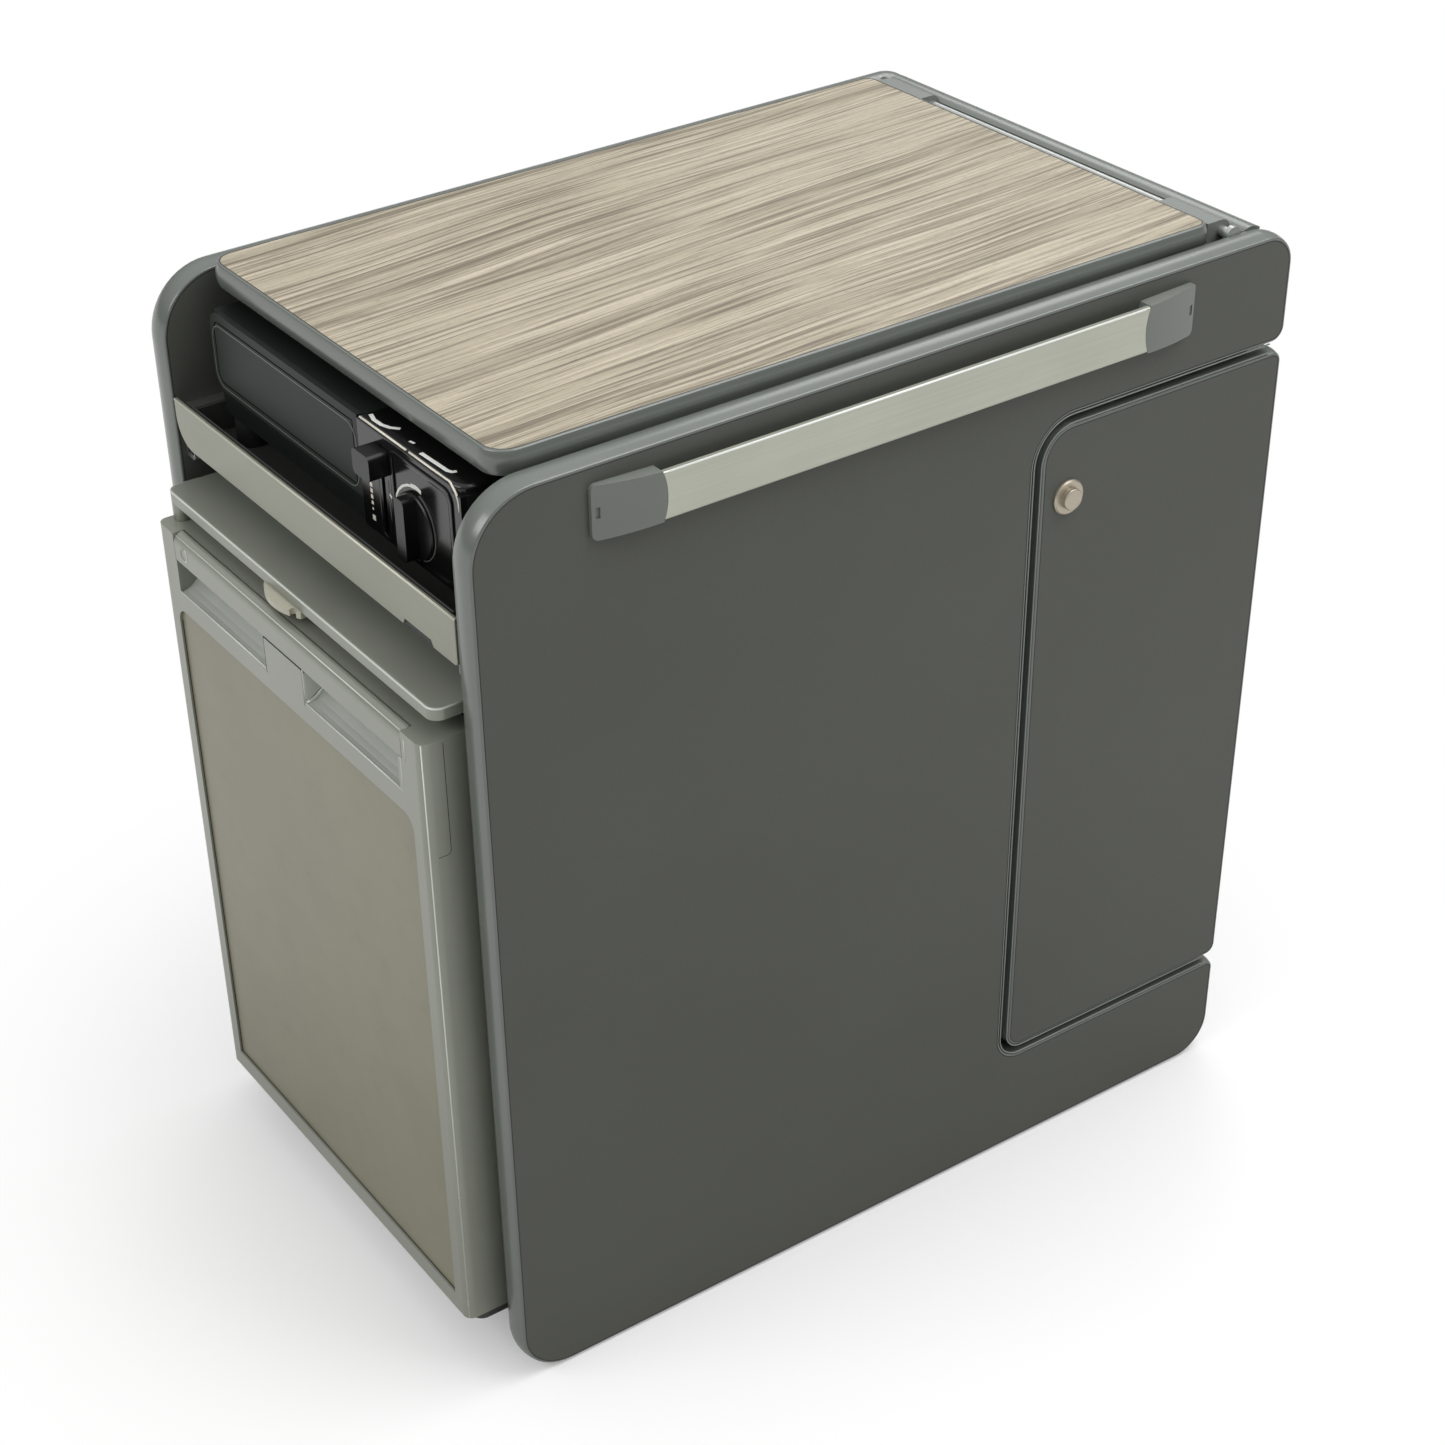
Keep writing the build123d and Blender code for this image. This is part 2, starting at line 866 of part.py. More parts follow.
with BuildPart() as lock_button:
    button_length = panel_thick + rosette_proud + button_proud
    round_bar(across(half_inner), (lock_y, lock_height), button_radius, button_length)
    fillet(lock_button.edges().group_by(Axis.X)[-1], button_dome)

case_low = lock_height - lock_case_height / 2
bolt_back = half_inner - lock_case_wall
bolt_foot = lock_height - bolt_height / 2
with BuildPart() as lock_case:
    block(
        (half_inner - lock_case_depth, case_front, case_low),
        (half_inner, case_rear, case_low + lock_case_height),
    )
    block(
        (
            half_inner - lock_case_depth + lock_case_wall,
            case_front + lock_case_wall,
            case_low + lock_case_wall,
        ),
        (
            half_inner + overrun,
            case_rear - lock_case_wall,
            case_low + lock_case_height - lock_case_wall,
        ),
        Mode.SUBTRACT,
    )
    block(
        (bolt_back - bolt_thick - slip, case_front - overrun, bolt_foot - slip),
        (bolt_back + slip, case_front + overrun, bolt_foot + bolt_height + slip),
        Mode.SUBTRACT,
    )

with BuildPart() as lock_bolt:
    block(
        (bolt_back - bolt_thick, case_front - bolt_shy, bolt_foot),
        (bolt_back, case_front - bolt_shy + bolt_length, bolt_foot + bolt_height),
    )

# Telescopic runners beside the stove's tray
runner_front = front_y + runner_setback
runner_rear = partition_front - runner_rear_gap
runner_high = runner_low + runner_height
tray_half = half_inner - runner_width


def channel(web, outer, low, high):
    """Fill a channel along the runner: its web's faces, its flanges' ends, its low and high edge."""
    block((web[0], runner_front, low), (web[1], runner_rear, high))
    for foot in (low, high - runner_metal):
        block((outer[0], runner_front, foot), (outer[1], runner_rear, foot + runner_metal))


with BuildPart() as runner_fixed_members:
    channel(
        (half_inner - runner_metal, half_inner),
        (tray_half + runner_metal + slip, half_inner),
        runner_low,
        runner_high,
    )
    mirror(about=Plane.YZ)

with BuildPart() as runner_sliding_members:
    channel(
        (tray_half, tray_half + runner_metal),
        (tray_half, half_inner - runner_metal - slip),
        runner_low + runner_metal + slip,
        runner_high - runner_metal - slip,
    )
    mirror(about=Plane.YZ)

# Tray: a folded pan with a front wall behind a deeper lip
lip_front = front_y + lip_front_inset
lip_back = lip_front + lip_thick
lip_half = half_inner - lip_side_gap
lip_low = tray_floor_top - lip_drop
lip_high = lip_low + lip_height
tray_rear = runner_rear - lip_round
tray_bottom = tray_floor_top - tray_metal
tray_side_top = tray_floor_top + tray_side_height
tray_rear_top = tray_floor_top + tray_rear_height
tray_front_top = lip_high - tray_front_drop
with BuildPart() as stove_tray:
    block((-tray_half, lip_back, tray_bottom), (tray_half, tray_rear, tray_floor_top))
    block(
        (-tray_half, lip_back + tray_front_gap, tray_bottom),
        (tray_half, lip_back + tray_front_gap + tray_metal, tray_front_top),
    )
    block((-tray_half, tray_rear - tray_metal, tray_bottom), (tray_half, tray_rear, tray_rear_top))
    for wall in (-tray_half, tray_half - tray_metal):
        block(
            (wall, lip_back + tray_front_gap, tray_bottom),
            (wall + tray_metal, tray_rear, tray_side_top),
        )

pull_right = lip_half + lip_side_gap - pull_near_inset
pull_left = pull_right - pull_width
with BuildPart() as stove_tray_lip:
    slab(
        facing(lip_back),
        box_corners((-lip_half, lip_low), (lip_half, lip_high)),
        [lip_foot_radius, lip_near_radius, lip_round, lip_round],
        lip_thick,
    )
    with BuildSketch(facing(lip_back)):
        with BuildLine():
            Polyline(
                (pull_left, lip_low),
                (pull_left + pull_taper, lip_low + pull_depth),
                (pull_right - pull_taper, lip_low + pull_depth),
                (pull_right, lip_low),
                close=True,
            )
        make_face()
    extrude(amount=lip_thick, mode=Mode.SUBTRACT)
    fillet(stove_tray_lip.edges().filter_by(Axis.X).group_by(Axis.Z)[-1], lip_round)

with BuildPart() as stove_tray_pull:
    block(
        (pull_left - pull_insert_side, lip_back, lip_low - pull_insert_drop),
        (pull_right + pull_insert_side, lip_back + pull_insert_depth, tray_bottom),
    )

# Stove housing: an open box with a wall between the burner side and the cartridge side
stove_left = stove_offset - half_inner + stove_side_room
stove_right = stove_offset + half_inner - stove_side_room
stove_front = front_y + stove_front_inset
stove_rear = stove_front + stove_depth
housing_front = stove_front + stove_front_thick
housing_top = stove_top - cover_thick
bay_floor = stove_low + stove_wall
control_left = stove_right - control_width
knob_across = stove_right - knob_side
knob_height = stove_low + knob_rise
lever_across = control_left + lever_side
lever_height = stove_low + lever_rise
lever_slot_low = stove_low + lever_slot_rise
lever_slot_high = lever_slot_low + lever_slot_height
deck_half = (control_left - stove_left) / 2
grate_outer_radius = deck_half - grate_margin
burner_x = mid(stove_left, control_left)
burner_y = mid(housing_front, stove_rear)
deck_top = housing_top + deck_thick
tube_z = housing_top - gas_tube_drop
tube_y = burner_y - cartridge_length / 2
with BuildPart() as stove_housing:
    block((stove_left, housing_front, stove_low), (stove_right, stove_rear, housing_top))
    for bay_left, bay_right in (
        (stove_left + stove_wall, control_left - stove_wall),
        (control_left, stove_right - stove_wall),
    ):
        block(
            (bay_left, housing_front + stove_wall, bay_floor),
            (bay_right, stove_rear - stove_wall, housing_top + overrun),
            Mode.SUBTRACT,
        )
    block(
        (lever_across - lever_neck / 2 - slip, housing_front - overrun, lever_slot_low),
        (lever_across + lever_neck / 2 + slip, housing_front + overrun, lever_slot_high),
        Mode.SUBTRACT,
    )
    round_bar(
        facing(housing_front + stove_wall),
        (knob_across, knob_height),
        knob_spindle_radius + running_gap,
        stove_wall,
        Mode.SUBTRACT,
    )
    round_bar(
        across(control_left - stove_wall),
        (tube_y, tube_z),
        gas_tube_radius + slip,
        stove_wall,
        Mode.SUBTRACT,
    )

with BuildPart() as stove_front_panel:
    panel_low = stove_low + front_panel_rise
    panel_face = box_corners((stove_left, panel_low), (control_left, stove_top))
    slab(
        facing(housing_front),
        panel_face,
        [front_panel_radius, 0, 0, front_panel_radius],
        stove_front_thick,
    )
    with BuildSketch(facing(stove_front + front_panel_groove_depth)):
        with BuildLine():
            FilletPolyline(
                *panel_face, radius=[front_panel_radius, 0, 0, front_panel_radius], close=True
            )
        make_face()
        offset(amount=-front_panel_rim, mode=Mode.REPLACE)
        offset(amount=-front_panel_groove, mode=Mode.SUBTRACT)
    extrude(amount=front_panel_groove_depth, mode=Mode.SUBTRACT)

with BuildPart() as stove_control_panel:
    slab(
        facing(housing_front),
        box_corners((control_left, stove_low + control_rise), (stove_right, housing_top)),
        [0, control_radius, 0, 0],
        stove_front_thick,
    )
    block(
        (lever_across - lever_neck / 2 - slip, stove_front - overrun, lever_slot_low),
        (lever_across + lever_neck / 2 + slip, housing_front + overrun, lever_slot_high),
        Mode.SUBTRACT,
    )
    round_bar(
        facing(housing_front),
        (knob_across, knob_height),
        knob_spindle_radius + running_gap,
        stove_front_thick,
        Mode.SUBTRACT,
    )

# Deck round the burner, with a round well
with BuildPart() as stove_deck:
    block(
        (stove_left, housing_front, housing_top),
        (control_left - slip, stove_rear, deck_top),
    )
    round_bar(
        at_height(deck_top - well_depth),
        (burner_x, burner_y),
        deck_half - well_margin,
        well_depth,
        Mode.SUBTRACT,
    )
    round_bar(
        at_height(housing_top),
        (burner_x, burner_y),
        burner_stem_radius + slip,
        deck_thick,
        Mode.SUBTRACT,
    )

with BuildPart() as cartridge_cover:
    slab(
        at_height(housing_top),
        box_corners((control_left, stove_front), (stove_right, stove_rear)),
        [0, control_radius, control_radius, 0],
        cover_thick,
    )
    fillet(cartridge_cover.faces().sort_by(Axis.Z)[-1].edges(), cover_round)

with BuildPart() as burner:
    burner_seat = deck_top - well_depth
    with Locations((burner_x, burner_y, burner_seat - burner_stem_drop)):
        Cylinder(
            burner_stem_radius,
            burner_stem_drop,
            align=(Align.CENTER, Align.CENTER, Align.MIN),
        )
    round_bar(at_height(burner_seat), (burner_x, burner_y), burner_radius, burner_height)
    chamfer(burner.edges().group_by(Axis.Z)[-1], burner_cap_height / 2)
    round_bar(
        at_height(burner_seat + burner_height),
        (burner_x, burner_y),
        burner_cap_radius,
        burner_cap_height,
    )
    with BuildSketch(at_height(burner_seat + burner_height / 2)):
        with Locations((burner_x, burner_y)):
            with PolarLocations(mid(burner_radius, burner_cap_radius), burner_port_count):
                Circle(burner_port_radius)
    extrude(amount=burner_height, mode=Mode.SUBTRACT)

# Pan support: two flat rings joined by arms, which lies flat on the deck
with BuildPart() as pan_support:
    with BuildSketch(at_height(deck_top)):
        with Locations((burner_x, burner_y)):
            for ring_radius in (grate_outer_radius, grate_ring_radius):
                Circle(ring_radius)
                Circle(ring_radius - grate_bar_width, mode=Mode.SUBTRACT)
            with PolarLocations(
                mid(grate_arm_inner, grate_outer_radius - grate_bar_width), grate_arm_count
            ):
                Rectangle(grate_outer_radius - grate_arm_inner, grate_bar_width)
    extrude(amount=grate_thick)

# Gas cartridge on its side, and the regulator that feeds the burner
cartridge_z = bay_floor + cartridge_radius + slip
cartridge_front = burner_y - cartridge_length / 2 + regulator_length
with BuildPart() as gas_cartridge:
    round_bar(
        facing(cartridge_front + cartridge_length),
        (knob_across, cartridge_z),
        cartridge_radius,
        cartridge_length,
    )
    chamfer(gas_cartridge.edges().group_by(Axis.Y)[0], cartridge_shoulder)
    round_bar(
        facing(cartridge_front),
        (knob_across, cartridge_z),
        cartridge_neck_radius,
        cartridge_neck_length,
    )

regulator_rear = cartridge_front - cartridge_neck_length
regulator_left = knob_across - regulator_width / 2
with BuildPart() as gas_regulator:
    block(
        (regulator_left, regulator_rear - regulator_length, cartridge_z - regulator_height / 2),
        (
            regulator_left + regulator_width,
            regulator_rear,
            cartridge_z + regulator_height / 2,
        ),
    )
    with BuildLine() as tube_run:
        FilletPolyline(
            (regulator_left, tube_y, tube_z),
            (burner_x, tube_y, tube_z),
            (burner_x, burner_y - burner_stem_radius - slip, tube_z),
            radius=[gas_tube_radius * 3],
        )
    with BuildSketch(Plane(origin=tube_run.line @ 0, z_dir=tube_run.line % 0)):
        Circle(gas_tube_radius)
    sweep(path=tube_run.wire())

with BuildPart() as stove_knob:
    round_bar(
        facing(stove_front - slip), (knob_across, knob_height), knob_radius, knob_disc_thick
    )
    chamfer(stove_knob.edges().group_by(Axis.Y)[0], knob_disc_thick / 3)
    slab(
        facing(stove_front - slip - knob_disc_thick),
        box_corners(
            (knob_across - knob_grip_width / 2, knob_height - knob_radius + slip),
            (knob_across + knob_grip_width / 2, knob_height + knob_radius - slip),
        ),
        [knob_grip_width / 3] * 4,
        knob_grip_proud - knob_disc_thick,
    )
    spindle_end = regulator_rear - regulator_length - slip
    round_bar(
        facing(spindle_end),
        (knob_across, knob_height),
        knob_spindle_radius,
        spindle_end - stove_front + slip,
    )

with BuildPart() as cartridge_lever:
    neck_back = housing_front + stove_wall + slip
    slab(
        facing(stove_front - slip),
        box_corners(
            (lever_across - lever_width / 2, lever_height - lever_tall / 2),
            (lever_across + lever_width / 2, lever_height + lever_tall / 2),
        ),
        [lever_neck] * 4,
        lever_proud,
    )
    block(
        (lever_across - lever_neck / 2, stove_front - slip, lever_height - lever_tall / 2),
        (lever_across + lever_neck / 2, neck_back, lever_height + lever_tall / 2),
    )
    block(
        (
            lever_across - lever_neck / 2 - lever_plate_side,
            neck_back,
            lever_height - lever_tall / 2,
        ),
        (
            lever_across + lever_neck / 2 + lever_plate_side,
            neck_back + lever_plate,
            lever_height + lever_tall / 2,
        ),
    )

with BuildPart() as stove_feet:
    for foot_x in (stove_left + foot_side_inset, stove_right - foot_side_inset):
        for foot_y in (stove_front + foot_end_inset, stove_rear - foot_end_inset):
            round_bar(
                at_height(tray_floor_top), (foot_x, foot_y), foot_radius, stove_low - tray_floor_top
            )

# Fridge cabinet: foamed walls round a stepped cavity, with a niche for the compressor
cavity_low = fridge_cabinet_low + fridge_floor
cavity_high = fridge_cabinet_high - fridge_roof
lower_back = fridge_back - fridge_lower_back
upper_back = fridge_back - fridge_upper_back


def cavity_corners(front, inset):
    """Return the stepped outline of the fridge's cavity in Y and Z, drawn in by an inset."""
    return [
        (front, cavity_low + inset),
        (lower_back - inset, cavity_low + inset),
        (lower_back - inset, fridge_step_height + inset),
        (upper_back - inset, fridge_step_height + inset),
        (upper_back - inset, cavity_high - inset),
        (front, cavity_high - inset),
    ]


with BuildPart() as fridge_cabinet:
    block(
        (-cabinet_half, fridge_front, fridge_cabinet_low),
        (cabinet_half, fridge_back, fridge_cabinet_high),
    )
    slab(
        across(-cavity_half),
        cavity_corners(fridge_front - overrun, 0),
        0,
        2 * cavity_half,
        Mode.SUBTRACT,
    )
    block(
        (-cabinet_half + niche_side, fridge_back - niche_depth, niche_low),
        (cabinet_half - niche_side, fridge_back + overrun, niche_high),
        Mode.SUBTRACT,
    )

liner_high = cavity_high - liner_thick
freezer_half = liner_half - freezer_side_gap
shelf_feet = [cavity_low + share * (cavity_high - cavity_low) for share in shelf_place_shares]
shelf_front = fridge_front + shelf_front_setback
shelf_rear = lower_back - shelf_rear_gap
with BuildPart() as fridge_liner:
    slab(across(-cavity_half), cavity_corners(fridge_front, 0), 0, 2 * cavity_half)
    slab(
        across(-liner_half),
        cavity_corners(fridge_front - overrun, liner_thick),
        0,
        2 * liner_half,
        Mode.SUBTRACT,
    )
    for foot in shelf_feet:
        for ledge in (-liner_half, liner_half - shelf_ledge):
            block(
                (ledge, shelf_front, foot - shelf_ledge),
                (ledge + shelf_ledge, shelf_rear, foot),
            )

with BuildPart() as fridge_shelves:
    for foot in shelf_feet:
        block(
            (-liner_half + slip, shelf_front, foot),
            (liner_half - slip, shelf_rear, foot + shelf_glass),
        )

with BuildPart() as freezer_box:
    freezer_front = fridge_front + freezer_front_setback
    freezer_rear = upper_back - liner_thick - slip
    block(
        (-freezer_half, freezer_front, liner_high - freezer_height),
        (freezer_half, freezer_rear, liner_high),
    )
    block(
        (
            -freezer_half + freezer_metal,
            freezer_front - overrun,
            liner_high - freezer_height + freezer_metal,
        ),
        (
            freezer_half - freezer_metal,
            freezer_rear - freezer_metal,
            liner_high - freezer_metal,
        ),
        Mode.SUBTRACT,
    )

with BuildPart() as fridge_compressor:
    round_bar(
        at_height(niche_low),
        (-compressor_across, fridge_back - niche_depth / 2),
        compressor_radius,
        compressor_height,
    )
    fillet(fridge_compressor.edges().group_by(Axis.Z)[-1], compressor_round)

# Pins that the fridge door turns on, one above and one below
top_plate_low = fridge_cabinet_high
top_plate_front = front_y - top_plate_proud
base_top = fridge_cabinet_low
base_low = base_top - base_plate_thick
top_plate_half = cabinet_half + top_plate_side
pin_x = -door_half + door_pin_side
pin_y = fridge_door_front + door_pin_back
pivot_x = -latch_left + latch_pivot_inset
latch_rear = top_plate_front + latch_depth
pivot_y = latch_rear - latch_pivot_back
latch_high = top_plate_low - latch_gap
latch_low = latch_high - latch_thick

with BuildPart() as fridge_top_plate:
    slab(
        at_height(top_plate_low),
        box_corners(
            (-top_plate_half, top_plate_front),
            (top_plate_half, fridge_back - top_plate_rear_gap),
        ),
        [top_plate_radius, top_plate_radius, top_plate_round, top_plate_round],
        top_plate_thick,
    )
    fillet(fridge_top_plate.faces().sort_by(Axis.Z)[-1].edges(), top_plate_round)
    round_bar(
        at_height(top_plate_low), (pin_x, pin_y), door_pin_radius, door_pin_seat, Mode.SUBTRACT
    )
    round_bar(
        at_height(latch_low - latch_gap),
        (pivot_x, pivot_y),
        latch_pivot_radius,
        top_plate_low - latch_low + latch_gap,
    )
    round_bar(
        at_height(latch_low - latch_gap - latch_rivet_thick),
        (pivot_x, pivot_y),
        latch_rivet_radius,
        latch_rivet_thick,
    )

with BuildPart() as fridge_base_plate:
    slab(
        at_height(base_low),
        box_corners(
            (-cabinet_half, front_y - base_plate_proud), (cabinet_half, fridge_back)
        ),
        [top_plate_radius, top_plate_radius, 0, 0],
        base_plate_thick,
    )
    for foot_x in (-cabinet_half + fridge_foot_side, cabinet_half - fridge_foot_side):
        for foot_y in (fridge_front + fridge_foot_front_setback, fridge_back - fridge_foot_rear_setback):
            round_bar(
                at_height(floor_board_top),
                (foot_x, foot_y),
                fridge_foot_radius,
                base_low - floor_board_top,
            )
    round_bar(
        at_height(base_top - door_pin_seat + slip),
        (pin_x, pin_y),
        door_pin_radius,
        door_pin_seat - slip,
        Mode.SUBTRACT,
    )

with BuildPart() as fridge_door_pins:
    round_bar(
        at_height(fridge_door_high - door_pin_bite),
        (pin_x, pin_y),
        door_pin_radius,
        top_plate_low + door_pin_seat - fridge_door_high + door_pin_bite,
    )
    round_bar(
        at_height(fridge_door_high + slip),
        (pin_x, pin_y),
        door_pin_collar_radius,
        top_plate_low - fridge_door_high - slip,
    )
    round_bar(
        at_height(base_top - door_pin_seat + slip),
        (pin_x, pin_y),
        door_pin_radius,
        fridge_door_low + door_pin_bite - base_top + door_pin_seat - slip,
    )
    round_bar(
        at_height(base_top),
        (pin_x, pin_y),
        door_pin_collar_radius,
        fridge_door_low - base_top - slip,
    )

with BuildPart() as fridge_vent_latch:
    arc_y = front_y - latch_reach + latch_arc_radius
    with BuildSketch(at_height(latch_low)):
        with Locations((-latch_arc_across, arc_y)):
            Circle(latch_arc_radius)
        with BuildLine():
            Polyline(
                *box_corners((-latch_left, front_y - latch_reach), (latch_right, latch_rear)),
                close=True,
            )
        make_face(mode=Mode.INTERSECT)
        with Locations((latch_right - latch_notch_inset, front_y - latch_reach + latch_notch_back)):
            Circle(latch_notch_radius, mode=Mode.SUBTRACT)
        with Locations((pivot_x, pivot_y)):
            Circle(latch_pivot_radius + running_gap, mode=Mode.SUBTRACT)
    extrude(amount=latch_thick)

# Fridge door: side stiles and bottom rail in one frame, with the insert panel between them
moulding_low = fridge_door_high - moulding_height
insert_half = door_half - stile_width
insert_low = fridge_door_low + bottom_rail
insert_high = moulding_low - insert_top_gap
insert_front = fridge_door_front + insert_drop
with BuildPart() as fridge_door_frame:
    slab(
        facing(fridge_door_back),
        [
            (-door_half, fridge_door_low),
            (door_half, fridge_door_low),
            (door_half, moulding_low),
            (insert_half, moulding_low),
            (insert_half, insert_low),
            (-insert_half, insert_low),
            (-insert_half, moulding_low),
            (-door_half, moulding_low),
        ],
        0,
        fridge_door_thick,
    )
    for side in (-door_half, door_half):
        fillet(
            edges_near(fridge_door_frame, Axis.Z, x=side, y=fridge_door_front), fridge_door_radius
        )
    round_bar(
        at_height(fridge_door_low),
        (pin_x, pin_y),
        door_pin_radius + running_gap,
        door_pin_bite + door_socket_spare,
        Mode.SUBTRACT,
    )

insert_outline = box_corners((-insert_half, insert_low), (insert_half, insert_high))
with BuildPart() as fridge_door_insert:
    slab(
        facing(insert_front + insert_thick),
        insert_outline,
        [0, 0, insert_radius, insert_radius],
        insert_thick,
    )

# Finger recess: a scoop under the handle that rises behind it
handle_back = fridge_door_front + handle_thick
pocket_back = handle_back + handle_back_gap
handle_half = door_half - handle_inset
handle_low = fridge_door_high - handle_height
recess_low = fridge_door_high - recess_drop
recess_high = fridge_door_high - recess_roof
pocket_low = handle_low - handle_gap
recess_back = fridge_door_front + recess_depth


def finger_scoop(left, right):
    """Cut one finger recess between two places along X into the part being built."""
    with BuildSketch(across(left)) as scoop:
        with BuildLine():
            ThreePointArc(
                (fridge_door_front, recess_low),
                (mid(recess_back, mid(recess_back, fridge_door_front)), recess_low + recess_rise / 3),
                (recess_back, recess_low + recess_rise),
            )
            Polyline(
                (recess_back, recess_low + recess_rise),
                (recess_back, recess_high),
                (pocket_back, recess_high),
                (pocket_back, pocket_low),
                (fridge_door_front - overrun, pocket_low),
                (fridge_door_front - overrun, recess_low),
                (fridge_door_front, recess_low),
            )
        make_face()
    extrude(scoop.sketch, amount=right - left, mode=Mode.SUBTRACT)


pocket_half = handle_half + handle_gap
recess_left = handle_half - recess_left_gap
recess_right = handle_half - recess_right_gap
with BuildPart() as fridge_door_moulding:
    with BuildSketch(facing(fridge_door_back)):
        with BuildLine():
            Polyline(
                (-door_half, moulding_low),
                (-insert_half, moulding_low),
                (-insert_half, insert_high - insert_radius),
                (insert_half, insert_high - insert_radius),
                (insert_half, moulding_low),
                (door_half, moulding_low),
                (door_half, fridge_door_high),
                (-door_half, fridge_door_high),
                close=True,
            )
        make_face()
        with BuildLine():
            FilletPolyline(
                *insert_outline, radius=[0, 0, insert_radius, insert_radius], close=True
            )
        make_face(mode=Mode.SUBTRACT)
    extrude(amount=fridge_door_thick)
    for side in (-door_half, door_half):
        fillet(
            edges_near(fridge_door_moulding, Axis.Z, x=side, y=fridge_door_front),
            fridge_door_radius,
        )
    for left, right in ((-recess_left, -recess_middle), (recess_middle, recess_right)):
        finger_scoop(left, right)
    block(
        (-pocket_half, fridge_door_front - overrun, pocket_low),
        (pocket_half, pocket_back, fridge_door_high + overrun),
        Mode.SUBTRACT,
    )
    for side in (-pocket_half - handle_pin_length, pocket_half):
        round_bar(
            across(side),
            (fridge_door_front + handle_axis_back, fridge_door_high - handle_axis_drop),
            handle_pin_radius + running_gap,
            handle_pin_length,
            Mode.SUBTRACT,
        )
    round_bar(
        at_height(fridge_door_high - door_pin_bite - door_socket_spare),
        (pin_x, pin_y),
        door_pin_radius + running_gap,
        door_pin_bite + door_socket_spare,
        Mode.SUBTRACT,
    )

with BuildPart() as fridge_handle:
    slab(
        across(-handle_half),
        box_corners((fridge_door_front, handle_low), (handle_back, fridge_door_high)),
        [0, 0, 0, handle_round],
        2 * handle_half,
    )
    round_bar(
        across(-handle_half - handle_pin_length),
        (fridge_door_front + handle_axis_back, fridge_door_high - handle_axis_drop),
        handle_pin_radius,
        2 * (handle_half + handle_pin_length),
    )

# Inner side of the fridge door: a foamed block, a plug inside the gasket and three bins
core_front = insert_front + insert_thick
plug_rear = fridge_door_back + plug_depth
plug_half = liner_half - plug_side_gap
plug_low = cavity_low + liner_thick + plug_foot_gap
plug_high = liner_high - plug_top_gap
bin_half = plug_half - bin_inset
bin_rear = plug_rear + bin_depth
with BuildPart() as fridge_door_liner:
    block(
        (-insert_half, core_front, insert_low),
        (insert_half, fridge_door_back, insert_high - insert_radius),
    )
    block(
        (-plug_half, fridge_door_back, plug_low),
        (plug_half, plug_rear, plug_high),
    )
    for share in bin_place_shares:
        foot = plug_low + share * (plug_high - plug_low)
        block((-bin_half, plug_rear, foot), (bin_half, bin_rear, foot + bin_height))
        block(
            (-bin_half + bin_wall, plug_rear, foot + bin_wall),
            (bin_half - bin_wall, bin_rear - bin_wall, foot + bin_height + overrun),
            Mode.SUBTRACT,
        )

with BuildPart() as fridge_door_gasket:
    outer = box_corners(
        (-door_half + gasket_outer_side, cavity_low - gasket_band),
        (door_half - gasket_outer_side, cavity_high + gasket_band),
    )
    inner = box_corners(
        (-door_half + gasket_outer_side + gasket_band, cavity_low),
        (door_half - gasket_outer_side - gasket_band, cavity_high),
    )
    slab(facing(fridge_door_back + gasket_thick), outer, 0, gasket_thick)
    slab(facing(fridge_door_back + gasket_thick), inner, 0, gasket_thick, Mode.SUBTRACT)

